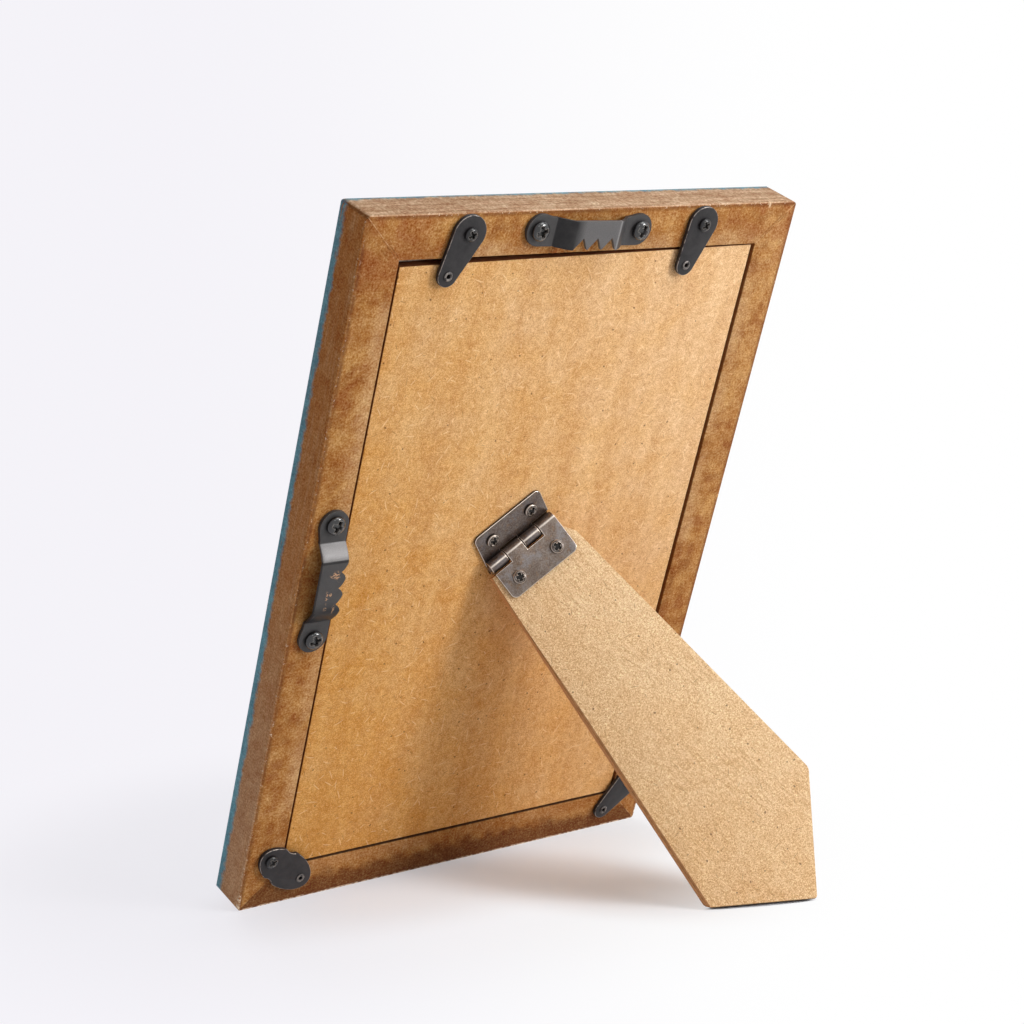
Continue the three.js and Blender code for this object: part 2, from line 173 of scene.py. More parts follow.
class Graph:
    """A node tree, with short calls for the nodes that the finishes use."""

    def __init__(self, tree: bpy.types.NodeTree) -> None:
        """Starts from an empty tree."""
        self.tree = tree
        self.tree.nodes.clear()

    def add(self, kind: str, **settings: object) -> bpy.types.Node:
        """Adds a node.

        Args:
            kind: the node's type name.
            settings: properties to set on it.

        Returns:
            The new node.
        """
        node = self.tree.nodes.new(kind)
        for name, value in settings.items():
            setattr(node, name, value)
        return node

    def feed(self, socket: Socket, value: Value) -> None:
        """Links a socket to another, or sets it to a constant."""
        if isinstance(value, bpy.types.NodeSocket):
            self.tree.links.new(value, socket)
        else:
            socket.default_value = value

    def math(self, operation: str, first: Value, second: Value = 0.0, clamp: bool = False) -> Socket:
        """A Math node.

        Args:
            operation: what it does.
            first: its first value.
            second: its second value.
            clamp: whether the result stays between 0 and 1.

        Returns:
            The result.
        """
        node = self.add("ShaderNodeMath", operation=operation, use_clamp=clamp)
        self.feed(node.inputs[0], first)
        self.feed(node.inputs[1], second)
        return node.outputs[0]

    def times(self, *values: Value) -> Socket:
        """The product of some values."""
        return reduce(partial(self.math, "MULTIPLY"), values)

    def plus(self, *values: Value) -> Socket:
        """The sum of some values."""
        return reduce(partial(self.math, "ADD"), values)

    def rest(self, value: Value) -> Socket:
        """What a value leaves of 1."""
        return self.math("SUBTRACT", 1.0, value)

    def apart(self, first: Value, second: Value) -> Socket:
        """How far two values are apart."""
        return self.math("ABSOLUTE", self.math("SUBTRACT", first, second))

    def step(self, value: Value, start: float, end: float) -> Socket:
        """A smooth step from 0 at start to 1 at end.

        Args:
            value: what is stepped.
            start: where the step begins.
            end: where it is full, which may be below start.

        Returns:
            The step, from 0 to 1.
        """
        node = self.add("ShaderNodeMapRange", interpolation_type="SMOOTHSTEP")
        self.feed(node.inputs["Value"], value)
        node.inputs["From Min"].default_value = start
        node.inputs["From Max"].default_value = end
        return node.outputs[0]

    def spread(self, value: Value, low: float, high: float) -> Socket:
        """A value from 0 to 1, spread from low to high.

        Args:
            value: what is spread.
            low: the result at 0.
            high: the result at 1.

        Returns:
            The spread value.
        """
        node = self.add("ShaderNodeMapRange")
        self.feed(node.inputs["Value"], value)
        node.inputs["To Min"].default_value = low
        node.inputs["To Max"].default_value = high
        return node.outputs[0]

    def mix(self, share: Value, first: Value, second: Value, blend: str = "MIX") -> Socket:
        """Mixes two colours.

        Args:
            share: how much of the second shows.
            first: the colour underneath.
            second: the colour on top.
            blend: how they are blended.

        Returns:
            The mixed colour.
        """
        node = self.add("ShaderNodeMix", data_type="RGBA", blend_type=blend, clamp_result=True)
        self.feed(node.inputs[0], share)
        self.feed(node.inputs[6], first)
        self.feed(node.inputs[7], second)
        return node.outputs[2]

    def either(self, share: Value, first: Socket, second: Socket) -> Socket:
        """Mixes two shaders.

        Args:
            share: how much of the second shows.
            first: the shader underneath.
            second: the shader on top.

        Returns:
            The mixed shader.
        """
        node = self.add("ShaderNodeMixShader")
        for socket, value in zip(node.inputs, (share, first, second)):
            self.feed(socket, value)
        return node.outputs[0]

    def gamma(self, colour: Value, power: float) -> Socket:
        """A colour raised to a power."""
        node = self.add("ShaderNodeGamma")
        self.feed(node.inputs["Color"], colour)
        node.inputs["Gamma"].default_value = power
        return node.outputs[0]

    def shade(self, colour: Value, level: Value, share: float) -> Socket:
        """Lightens or darkens a colour by the same step of each channel, as the eye counts steps.

        Args:
            colour: what is shaded.
            level: 0.5 leaves the colour as it is, more lightens it and less darkens it.
            share: how strong the shading is.

        Returns:
            The shaded colour.
        """
        level = self.ramp(level, [(0.0, (0.12, 0.0, 0.0, 1.0)), (1.0, (0.88, 1.0, 1.0, 1.0))])
        moved = self.mix(share, self.gamma(colour, 1 / GAMMA), level, "LINEAR_LIGHT")
        return self.gamma(moved, GAMMA)

    def ramp(self, value: Value, stops: Stops) -> Socket:
        """A colour ramp.

        Args:
            value: place on the ramp.
            stops: places and colours, in order.

        Returns:
            The colour at that place.
        """
        node = self.add("ShaderNodeValToRGB")
        elements = node.color_ramp.elements
        while len(elements) < len(stops):
            elements.new(0.5)
        for element, (place, colour) in zip(elements, stops):
            element.position = place
            element.color = colour
        self.feed(node.inputs[0], value)
        return node.outputs[0]

    def noise(self, vector: Value, scale: float, detail: float = 3.0, rough: float = 0.55) -> Socket:
        """A noise value.

        Args:
            vector: where it is read.
            scale: waves per unit of the vector.
            detail: octaves.
            rough: how strong the finer octaves are.

        Returns:
            A value around 0.5.
        """
        node = self.add("ShaderNodeTexNoise")
        self.feed(node.inputs["Vector"], vector)
        node.inputs["Scale"].default_value = scale
        node.inputs["Detail"].default_value = detail
        node.inputs["Roughness"].default_value = rough
        return node.outputs[0]

    def noises(self, vector: Value, table: Iterable[tuple]) -> dict:
        """Noises by name, from a table of their names, scales, octaves and roughnesses."""
        return {name: self.noise(vector, *sizes) for name, *sizes in table}

    def stretch(self, vector: Value, x: float, y: float, z: float, turn: float = 0.0) -> Socket:
        """Turns a vector about Z, then stretches it.

        Args:
            vector: what is stretched.
            x: factor along X after the turn.
            y: factor along Y after the turn.
            z: factor along Z.
            turn: turn in degrees.

        Returns:
            The stretched vector.
        """
        turned = vector
        if turn:
            node = self.add("ShaderNodeVectorRotate", rotation_type="Z_AXIS")
            self.feed(node.inputs["Vector"], vector)
            node.inputs["Angle"].default_value = math.radians(turn)
            turned = node.outputs[0]
        scaled = self.add("ShaderNodeVectorMath", operation="MULTIPLY")
        self.feed(scaled.inputs[0], turned)
        scaled.inputs[1].default_value = (x, y, z)
        return scaled.outputs[0]

    def split(self, vector: Value) -> tuple:
        """The three numbers of a vector."""
        node = self.add("ShaderNodeSeparateXYZ")
        self.feed(node.inputs[0], vector)
        return tuple(node.outputs)

    def mark(self, name: str) -> Socket:
        """A piece's own vertex attribute."""
        return self.add("ShaderNodeAttribute", attribute_name=name).outputs["Fac"]

    def local(self, place: Matrix) -> Socket:
        """Object coordinates in a piece's own frame, in millimetres.

        Args:
            place: the matrix from that frame to the row frame, in millimetres.

        Returns:
            The coordinates.
        """
        inverse = place.inverted()
        mapping = self.add("ShaderNodeMapping")
        mapping.inputs["Location"].default_value = inverse.to_translation()
        mapping.inputs["Rotation"].default_value = inverse.to_euler()
        mapping.inputs["Scale"].default_value = (1 / MM, 1 / MM, 1 / MM)
        self.feed(mapping.inputs["Vector"], self.add("ShaderNodeTexCoord").outputs["Object"])
        return mapping.outputs[0]

    def effect(self, group: bpy.types.NodeTree, **inputs: Value) -> bpy.types.Node:
        """Places a shared effect.

        Args:
            group: the effect's node group.
            inputs: values of its inputs, by name.

        Returns:
            The group's node.
        """
        node = self.add("ShaderNodeGroup", node_tree=group)
        for name, value in inputs.items():
            self.feed(node.inputs[name], value)
        return node


@dataclass(frozen=True)
class Fibre:
    """A kind of fibre: its cell, length and width in millimetres, the share of cells with one, its colour."""

    cell: float
    length: float
    width: float
    share: float
    colour: tuple


class Effects:
    """Node groups that several finishes share."""

    def __init__(self, stance: Stance) -> None:
        """Builds each group once."""
        self.stance = stance
        self.fibres = self._fibres()
        self.worn = self._worn()
        self.rail_place = self._rail_place()

    @staticmethod
    def _start(name: str, inputs: Iterable[tuple], outputs: Iterable[str]) -> tuple:
        """Starts a group.

        Args:
            name: the group's name.
            inputs: names and socket types of its inputs.
            outputs: names of its outputs, which are all values.

        Returns:
            The group, its graph, its input node and its output node.
        """
        group = bpy.data.node_groups.new(name, "ShaderNodeTree")
        for label, kind in inputs:
            group.interface.new_socket(label, in_out="INPUT", socket_type=kind)
        for label in outputs:
            group.interface.new_socket(label, in_out="OUTPUT", socket_type="NodeSocketFloat")
        graph = Graph(group)
        return group, graph, graph.add("NodeGroupInput"), graph.add("NodeGroupOutput")

    def _fibres(self) -> bpy.types.NodeTree:
        """Short curved fibres at all angles, one to a cell.

        Returns:
            The group, which puts out a mask of the fibres.
        """
        sizes = [(name, "NodeSocketFloat") for name in ("Cell", "Length", "Width", "Share")]
        inputs = [("Vector", "NodeSocketVector"), *sizes]
        group, graph, given, out = self._start("board_fibres", inputs, ["Mask"])
        scaled = graph.add("ShaderNodeVectorMath", operation="SCALE")
        graph.feed(scaled.inputs[0], given.outputs["Vector"])
        graph.feed(scaled.inputs["Scale"], graph.math("DIVIDE", 1.0, given.outputs["Cell"]))
        cells = graph.add("ShaderNodeTexVoronoi", voronoi_dimensions="2D")
        cells.inputs["Scale"].default_value = 1.0
        graph.feed(cells.inputs["Vector"], scaled.outputs[0])
        from_middle = graph.add("ShaderNodeVectorMath", operation="SUBTRACT")
        graph.feed(from_middle.inputs[0], scaled.outputs[0])
        graph.feed(from_middle.inputs[1], cells.outputs["Position"])
        turn, chance, bend = graph.split(cells.outputs["Color"])
        turned = graph.add("ShaderNodeVectorRotate", rotation_type="Z_AXIS")
        graph.feed(turned.inputs["Vector"], from_middle.outputs[0])
        graph.feed(turned.inputs["Angle"], graph.times(turn, math.tau))
        along, across, _ = graph.split(turned.outputs[0])
        curve = graph.times(along, along, graph.math("SUBTRACT", bend, 0.5), 0.9)
        across = graph.plus(across, curve)
        size = graph.spread(graph.math("FRACT", graph.times(bend, 7.3)), 0.35, 1.25)
        along = graph.math("DIVIDE", graph.times(along, given.outputs["Cell"]),
                           graph.times(given.outputs["Length"], size))
        across = graph.math("DIVIDE", graph.times(across, given.outputs["Cell"]), given.outputs["Width"])
        reach = graph.plus(graph.times(along, along), graph.times(across, across))
        shown = graph.math("LESS_THAN", chance, given.outputs["Share"])
        graph.feed(out.inputs["Mask"], graph.times(graph.step(reach, 1.0, 0.3), shown))
        return group

    def strewn(self, graph: Graph, spot: Socket, kind: Fibre) -> Socket:
        """A mask of strewn fibres.

        Args:
            graph: the material's graph.
            spot: coordinates on the surface, in millimetres.
            kind: the fibres.

        Returns:
            The mask, which is 1 on a fibre.
        """
        node = graph.effect(self.fibres, Vector=spot, Cell=kind.cell, Length=kind.length, Width=kind.width,
                            Share=kind.share)
        return node.outputs["Mask"]

    def _worn(self) -> bpy.types.NodeTree:
        """Wear on the softened edges of a piece, broken up by noise.

        Returns:
            The group, which puts out the mask of the wear.
        """
        inputs = [("Vector", "NodeSocketVector"), ("Bias", "NodeSocketFloat")]
        group, graph, given, out = self._start("worn_edges", inputs, ["Mask"])
        patches = graph.noise(given.outputs["Vector"], 0.9, 4.0, 0.65)
        shown = graph.step(graph.plus(patches, given.outputs["Bias"]), 0.46, 0.66)
        graph.feed(out.inputs["Mask"], graph.times(graph.mark(WEAR), shown))
        return group

    def _rail_place(self) -> bpy.types.NodeTree:
        """Where a point lies on the four rails, in the back view.

        Returns:
            The group, which puts out the distances from the outer edge, the mitre and the frame's corner.
        """
        group, graph, given, out = self._start("rail_place", [("Vector", "NodeSocketVector")],
                                               ["Edge", "Mitre", "Corner"])
        across, up, _ = graph.split(given.outputs["Vector"])
        from_side = graph.math("SUBTRACT", self.stance.width / 2, graph.math("ABSOLUTE", across))
        from_end = graph.math("MINIMUM", up, graph.math("SUBTRACT", self.stance.height, up))
        graph.feed(out.inputs["Edge"], graph.math("MINIMUM", from_side, from_end))
        graph.feed(out.inputs["Mitre"], graph.times(graph.apart(from_side, from_end), math.sqrt(0.5)))
        squares = graph.plus(graph.times(from_side, from_side), graph.times(from_end, from_end))
        graph.feed(out.inputs["Corner"], graph.math("SQRT", squares))
        return group


class Finish:
    """A surface finish, made into one material when it is first asked for."""

    name: str
    slot: str

    def material(self) -> bpy.types.Material:
        """The finish's material.

        Returns:
            The material, built on the first call.
        """
        found = bpy.data.materials.get(self.name)
        if found is None:
            found = bpy.data.materials.new(self.name)
            found.use_nodes = True
            self.build(Graph(found.node_tree))
        return found

    def build(self, graph: Graph) -> None:
        """Builds the material's nodes."""
        raise NotImplementedError

    @staticmethod
    def surface(graph: Graph, height: Value, depth: float, **inputs: Value) -> bpy.types.Node:
        """Adds the surface shader and the output.

        Args:
            graph: the material's graph.
            height: height of the surface's relief, from 0 to 1.
            depth: depth of the relief in millimetres.
            inputs: the shader's inputs, by name with underscores for spaces.

        Returns:
            The surface shader's node.
        """
        shader = graph.add("ShaderNodeBsdfPrincipled")
        for name, value in inputs.items():
            graph.feed(shader.inputs[name.replace("_", " ")], value)
        bump = graph.add("ShaderNodeBump")
        bump.inputs["Strength"].default_value = 1.0
        bump.inputs["Distance"].default_value = depth * MM
        graph.feed(bump.inputs["Height"], height)
        graph.feed(shader.inputs["Normal"], bump.outputs[0])
        graph.feed(graph.add("ShaderNodeOutputMaterial").inputs["Surface"], shader.outputs[0])
        return shader


class Layer:
    """A colour laid over another, where values of the surface are within limits.

    Each limit has the name of a value, with where the layer begins and where it is full.
    """

    def __init__(self, colour: Value, strength: float, **limits: tuple) -> None:
        """Takes the colour, its strength where the layer is full, and the limits."""
        self.colour = colour
        self.strength = strength
        self.limits = limits

    def over(self, graph: Graph, colour: Value, on: dict, *masks: Value) -> Socket:
        """Lays the layer over a colour.

        Args:
            graph: the material's graph.
            colour: the colour underneath.
            on: the values of the surface, by name.
            masks: more shares of the layer.

        Returns:
            The colour with the layer on it.
        """
        shares = [graph.step(on[name], *ends) for name, ends in self.limits.items()]
        return graph.mix(graph.times(*shares, *masks, self.strength), colour, self.colour)


@dataclass(frozen=True)
class StainedBoard(Finish):
    """Brown stained fibreboard of the rails, with worn paint on the front and the front of the sides."""

    effects: Effects
    run: Run
    name: str
    paint_from: float
    slot: str = "stained_rail"
    noises: tuple = (
        ("broad", 0.05, 3.0), ("cloud", 0.24, 5.0, 0.6), ("fine", 2.0, 1.0, 0.6), ("mottle", 0.28, 4.0, 0.95),
        ("hue", 0.13, 4.0, 0.7), ("patches", 0.12, 3.0), ("faint", 0.3, 2.0), ("grit", 1.1, 4.0, 0.75),
        ("ragged", 0.32, 5.0, 0.8),
    )
    stretch: float = 0.08
    streaks: tuple = (("streak", 0.9, 4.0, 0.6), ("scuffs", 0.7, 6.0, 0.7), ("brush", 0.5, 5.0, 0.65))
    stain: Stops = ((0.36, tint(142, 87, 38)), (0.5, tint(168, 113, 57)), (0.64, tint(190, 140, 82)))
    hues: tuple = (
        Layer(tint(200, 150, 86), 0.55, hue=(0.5, 0.66)),
        Layer(tint(146, 84, 40), 0.55, hue=(0.48, 0.34)),
        Layer(tint(198, 156, 110), 0.55, edge=(5.5, 9.5), broad=(0.38, 0.6)),
        Layer(tint(146, 80, 36), 0.7, corner=(24.0, 10.0), patches=(0.42, 0.56), up=(50.0, 100.0)),
    )
    # Painted shade on the bottom rail: darker towards its outer edge, lighter towards the rabbet, with a
    # wavering line.
    bottom_rail_shade_waver: tuple = (-4.0, 4.0)
    bottom_rail_shade: tuple = (
        Layer(tint(104, 58, 22), 0.85, up=(20.0, 14.0), bottom_rail_shade_rise=(9.0, 3.5)),
        Layer(tint(160, 106, 52), 0.5, up=(20.0, 14.0), bottom_rail_shade_rise=(3.5, 9.0)),
    )
    # Lighter towards the top of the right rail, in patches.
    upper_right_paler: Layer = Layer(tint(212, 164, 106), 0.3, across=(51.0, 54.0), up=(70.0, 150.0), hue=(0.4, 0.5))
    flank: tuple = (0.4, 0.1)
    flank_rise: tuple = (10.0, 150.0)
    # Outer sides: their own streaky brown, painted lighter than the back as light against the shade the sides
    # lie in.
    flanks: Stops = ((0.0, tint(196, 146, 106)), (0.5, tint(195, 131, 77)), (1.0, tint(186, 116, 56)))
    flank_streak: Layer = Layer(tint(206, 154, 106), 0.6, streak=(0.45, 0.75))
    fibres: tuple = (
        Fibre(0.9, 0.34, 0.08, 0.6, tint(214, 172, 118)),
        Fibre(1.1, 0.34, 0.1, 0.45, tint(100, 58, 28)),
    )
    fibre_strength: float = 0.3
    margin: Layer = Layer(tint(112, 62, 28), 0.75, edge=(1.5, 0.5), cloud=(0.3, 0.55))
    beside_mitre: float = 0.32
    joints: tuple = (
        Layer(tint(222, 184, 136), 0.55, mitre=(0.13, 0.03), faint=(0.5, 0.6), out=(-0.6, -0.3)),
        Layer(tint(96, 54, 26), 0.5, beside=(0.16, 0.04), faint=(0.54, 0.46), out=(-0.6, -0.3)),
    )
    # Pale top face: its dusted face, and painted light where the top faces up.
    top_dust_and_light: Stops = ((0.32, tint(178, 138, 104)), (0.68, tint(226, 190, 156)))
    wear_bias: float = -0.06
    rubbed: Layer = Layer(tint(224, 188, 142), 0.75)
    rim_middle: float = 0.25
    flecks: Layer = Layer(tint(240, 216, 184), 0.85, rim=(0.5, 0.2), out=(-0.9, -0.5), bare=(0.46, 0.53))
    # Painted shade on the rabbet's side, seen in the gap round the panel: its colour, and the darker one
    # along the bottom rail.
    gap_wall_shade: tuple = (tint(138, 80, 38), tint(30, 17, 10))
    gap_wall_shade_drop: tuple = (16.0, 12.0)
    nick_across: float = 53.2
    nick: Layer = Layer(tint(232, 204, 166), 0.8, nick=(0.45, 0.15), up=(174.6, 175.5), out=(-1.2, -0.5))
    paint_waver: tuple = (-1.7, 2.3)
    paint_edge: tuple = (-0.8, 0.6)
    paint: Stops = ((0.34, tint(66, 114, 134)), (0.5, tint(88, 130, 148)), (0.68, tint(124, 154, 166)))
    paint_grey: Layer = Layer(tint(116, 122, 134), 0.6, up=(60.0, 170.0))
    # Paint on the outer sides painted lighter, as light against the shade the sides lie in.
    paint_flank_light: Layer = Layer(tint(114, 176, 190), 0.55)

    def _read(self, graph: Graph) -> dict:
        """Reads what the layers are limited by: places in millimetres, noises and masks.

        Args:
            graph: the material's graph.

        Returns:
            The values, by name.
        """
        spot = graph.local(self.effects.stance.back())
        across, up, out = graph.split(spot)
        place = graph.effect(self.effects.rail_place, Vector=spot).outputs
        edge, mitre = place["Edge"], place["Mitre"]
        level = self.run is Run.ACROSS
        along = graph.stretch(spot, *((self.stretch, 1.0) if level else (1.0, self.stretch)), 1.0)
        unfolded = graph.add("ShaderNodeCombineXYZ")
        graph.feed(unfolded.inputs[0], across if level else graph.plus(across, out))
        graph.feed(unfolded.inputs[1], graph.plus(up, out) if level else up)
        on = graph.noises(spot, self.noises) | graph.noises(along, self.streaks)
        kept = graph.times(graph.step(up, 2.0, 8.0), 0.13)
        return on | {
            "across": across, "up": up, "out": out, "edge": edge, "mitre": mitre, "corner": place["Corner"],
            "fibres": [self.effects.strewn(graph, unfolded.outputs[0], kind) for kind in self.fibres],
            "bottom_rail_shade_rise": graph.plus(up, graph.spread(on["cloud"], *self.bottom_rail_shade_waver)),
            "flank": graph.step(edge, *self.flank),
            "beside": graph.apart(mitre, self.beside_mitre),
            "worn": graph.effect(self.effects.worn, Vector=spot, Bias=self.wear_bias).outputs["Mask"],
            "rim": graph.apart(edge, self.rim_middle),
            "bare": graph.math("SUBTRACT", on["grit"], kept),
            "nick": graph.apart(across, self.nick_across),
        }

    def _stained(self, graph: Graph, on: dict) -> Socket:
        """The stain with its clouds and hues, painted shade on the bottom rail, red in the corners, and its
        fibres.

        Args:
            graph: the material's graph.
            on: the values of the surface.

        Returns:
            The colour of the back and the sides.
        """
        clouds = graph.plus(graph.times(on["cloud"], 0.6), graph.times(on["broad"], 0.4))
        colour = graph.ramp(clouds, self.stain)
        for layer in (*self.hues, *(self.bottom_rail_shade if self.run is Run.ACROSS else ()), self.upper_right_paler):
            colour = layer.over(graph, colour, on)
        sides = graph.ramp(graph.step(on["up"], *self.flank_rise), self.flanks)
        colour = graph.mix(on["flank"], colour, self.flank_streak.over(graph, sides, on))
        colour = graph.shade(graph.shade(colour, on["mottle"], 0.24), on["fine"], 0.22)
        for kind, mask in zip(self.fibres, on["fibres"]):
            colour = graph.mix(graph.times(mask, self.fibre_strength), colour, kind.colour)
        return colour

    def _edged(self, graph: Graph, on: dict, colour: Socket) -> Socket:
        """The dark margin, the mitres, the pale top, partly painted light, the rubbed edges, painted shade on
        the rabbet's side and the nick.

        Args:
            graph: the material's graph.
            on: the values of the surface.
            colour: the colour underneath.

        Returns:
            The colour with these on it.
        """
        colour = self.margin.over(graph, colour, on, graph.rest(on["flank"]))
        # The pale top, partly dusted and partly painted light.
        pale_top = graph.ramp(on["streak"], self.top_dust_and_light)
        pale_top = graph.shade(graph.shade(pale_top, on["mottle"], 0.3), on["fine"], 0.25)
        height = self.effects.stance.height
        top = Layer(pale_top, 0.9, up=(height - 0.4, height - 0.1))
        for layer in (*self.joints, top):
            colour = layer.over(graph, colour, on)
        colour = self.rubbed.over(graph, colour, on, on["worn"])
        # Painted shade in the gap round the panel, darker along the bottom rail.
        inside = graph.mix(graph.step(on["up"], *self.gap_wall_shade_drop), *self.gap_wall_shade)
        gap_shade = Layer(inside, 0.88, edge=(10.3, 10.36), out=(-0.1, -0.3))
        for layer in (self.flecks, gap_shade, self.nick):
            colour = layer.over(graph, colour, on)
        return colour

    def _painted(self, graph: Graph, on: dict, colour: Socket) -> tuple:
        """The worn paint.

        Args:
            graph: the material's graph.
            on: the values of the surface.
            colour: the colour underneath.

        Returns:
            The mask of the paint, and the colour with the paint on it.
        """
        depth = graph.math("SUBTRACT", graph.spread(on["ragged"], *self.paint_waver), on["out"])
        rubbed = graph.math("MAXIMUM", graph.times(graph.mark(WEAR), graph.step(on["cloud"], 0.5, 0.62)),
                            graph.step(on["scuffs"], 0.6, 0.7))
        start, end = (self.paint_from + part for part in self.paint_edge)
        painted = graph.times(graph.step(depth, start, end), graph.rest(rubbed))
        paint = self.paint_grey.over(graph, graph.ramp(on["brush"], self.paint), on)
        # The paint on the sides is lightened as painted light.
        paint = self.paint_flank_light.over(graph, paint, on, on["flank"])
        paint = graph.shade(graph.shade(paint, on["mottle"], 0.26), on["fine"], 0.16)
        return painted, graph.mix(painted, colour, paint)

    def build(self, graph: Graph) -> None:
        """Builds the stain, its blotches, the worn edges and the paint."""
        on = self._read(graph)
        colour = self._edged(graph, on, self._stained(graph, on))
        painted, colour = self._painted(graph, on, colour)
        rough = graph.math("SUBTRACT", graph.spread(on["fine"], 0.55, 0.85), graph.times(painted, 0.15))
        height = graph.plus(graph.times(on["fine"], 0.7), graph.times(on["fibres"][0], 0.2),
                            graph.times(painted, 0.3))
        self.surface(graph, height, 0.03, Base_Color=colour, Roughness=rough, Specular_IOR_Level=0.16)


@dataclass(frozen=True)
class BareBoard(Finish):
    """Bare fibreboard of the panel and the leg: fine grain, pale and dark fibres, brown cut sides."""

    effects: Effects
    place: Matrix
    hinge: Matrix
    name: str
    tones: tuple
    fade: tuple
    band: tuple
    slot: str = "bare_board"
    noises: tuple = (("cloud", 0.09, 3.0), ("mottle", 0.5, 3.0, 0.6), ("patches", 0.05, 2.0))
    grain: float = 3.6
    grain_share: float = 0.26
    blotch: float = 0.1
    lines: float = 0.0
    lines_turn: float = 0.0
    sanding: tuple = (
        Layer(tint(184, 134, 82), 1.0, sanded=(0.52, 0.64), patches=(0.4, 0.6)),
        Layer(tint(252, 222, 180), 1.0, sanded=(0.46, 0.36), patches=(0.4, 0.6)),
    )
    fibres: tuple = (
        Fibre(0.8, 0.5, 0.11, 0.8, tint(246, 212, 162)),
        Fibre(0.95, 0.45, 0.11, 0.7, tint(168, 116, 66)),
        Fibre(3.4, 1.5, 0.15, 0.45, tint(250, 220, 172)),
        Fibre(4.4, 1.1, 0.12, 0.5, tint(148, 96, 52)),
        Fibre(5.2, 0.34, 0.25, 0.28, tint(108, 64, 30)),
    )
    fibre_strengths: tuple = (0.18, 0.26, 0.52, 0.5, 0.8)
    cut: tuple = (tint(88, 48, 23), tint(116, 70, 38))
    wear_bias: float = -0.02
    rubbed: Layer = Layer(tint(150, 102, 62), 0.6)
    border: tuple = ()
    border_rise: tuple = (-12.0, -45.0)
    arris: Stops = ((0.35, tint(144, 98, 62)), (0.65, tint(172, 122, 82)))
    # A painted contact shadow along the foot's edge: the line of that edge, and the shadow's colour.
    foot_edge_line: tuple = ()
    foot_edge_shade: Layer = Layer(tint(40, 27, 19), 0.92, outward=(-0.3, -0.08))
    # Painted shade on the board under the hinge's leaves: its half length and half width, and its colour.
    hinge_shade_reach: tuple = (9.8, 3.5)
    hinge_shade: Layer = Layer(tint(34, 24, 18), 0.92, along=(0.3, -0.1), aside=(0.3, -0.1))

    def _read(self, graph: Graph, spot: Socket) -> dict:
        """Reads what the layers are limited by: places in millimetres, noises and masks.

        Args:
            graph: the material's graph.
            spot: the board's own coordinates.

        Returns:
            The values, by name.
        """
        across, up, _ = graph.split(spot)
        along, aside, _ = graph.split(graph.local(self.hinge))
        half_length, half_width = self.hinge_shade_reach
        return graph.noises(spot, self.noises) | {
            "across": across, "up": up,
            "along": graph.math("SUBTRACT", graph.math("ABSOLUTE", along), half_length),
            "aside": graph.math("SUBTRACT", graph.math("ABSOLUTE", aside), half_width),
            "band": graph.noise(graph.stretch(spot, *self.band, 0.1), 1.0, 3.0, 0.6),
            "fine": graph.noise(spot, self.grain, 2.0, 0.5),
            "sanded": graph.noise(graph.stretch(spot, 1.0, 0.12, 1.0, self.lines_turn), 2.4, 2.0, 0.6),
            "sawn": graph.noise(graph.stretch(spot, 1.0, 1.0, 4.0), 0.7, 4.0, 0.65),
            "fibres": [self.effects.strewn(graph, spot, kind) for kind in self.fibres],
            "worn": graph.effect(self.effects.worn, Vector=spot, Bias=self.wear_bias).outputs["Mask"],
        }

    def _ground(self, graph: Graph, on: dict) -> Socket:
        """The board's face: soft bands, grain, sanding lines, fibres and specks.

        Args:
            graph: the material's graph.
            on: the values of the surface.

        Returns:
            The colour.
        """
        sideways, upwards, start = self.fade
        fade = graph.plus(graph.times(on["across"], sideways), graph.times(on["up"], upwards))
        fade = graph.math("ADD", fade, start, clamp=True)
        blend = graph.plus(graph.times(on["cloud"], 0.5), graph.times(fade, 0.5))
        colour = graph.ramp(blend, list(zip((0.28, 0.5, 0.72), self.tones)))
        for name, share in (("band", self.blotch), ("mottle", self.blotch), ("fine", self.grain_share)):
            colour = graph.shade(colour, on[name], share)
        for layer in self.sanding if self.lines else ():
            colour = layer.over(graph, colour, on, self.lines)
        for kind, mask, strength in zip(self.fibres, on["fibres"], self.fibre_strengths):
            colour = graph.mix(graph.times(mask, strength), colour, kind.colour)
        return colour

    def _edged(self, graph: Graph, on: dict, colour: Socket) -> Socket:
        """The cut sides, the brown arris, the worn edges, a painted contact shadow along the foot's edge and
        painted shade under the hinge.

        Args:
            graph: the material's graph.
            on: the values of the surface.
            colour: the colour underneath.

        Returns:
            The colour with these on it.
        """
        if self.border:
            start, slope, narrow, wide = self.border
            inside = graph.math("SUBTRACT", on["across"], graph.plus(graph.times(on["up"], slope), start))
            reach = graph.spread(graph.step(on["up"], *self.border_rise), narrow, wide)
            strip = graph.step(graph.math("SUBTRACT", inside, reach), 0.06, -0.06)
            colour = graph.mix(strip, colour, graph.ramp(on["mottle"], self.arris))
        cut = graph.ramp(on["sawn"], list(zip((0.35, 0.65), self.cut)))
        colour = graph.mix(graph.mark(SIDE_AND_SHADE), colour, cut)
        colour = self.rubbed.over(graph, colour, on, on["worn"])
        # Painted contact shadow along the foot's edge.
        if self.foot_edge_line:
            out_across, out_up, toe = self.foot_edge_line
            outward = graph.plus(graph.times(on["across"], out_across), graph.times(on["up"], out_up), -toe)
            colour = self.foot_edge_shade.over(graph, colour, {"outward": outward})
        # Painted shade under the hinge.
        return self.hinge_shade.over(graph, colour, on)

    def build(self, graph: Graph) -> None:
        """Builds the board's face, its edges and its relief."""
        on = self._read(graph, graph.local(self.place))
        colour = self._edged(graph, on, self._ground(graph, on))
        height = graph.plus(graph.times(on["fine"], 0.6), graph.times(on["fibres"][0], 0.25),
                            graph.times(on["sanded"], 0.3 * self.lines))
        self.surface(graph, height, 0.015, Base_Color=colour, Roughness=graph.spread(on["fine"], 0.7, 0.95),
                     Specular_IOR_Level=0.2)


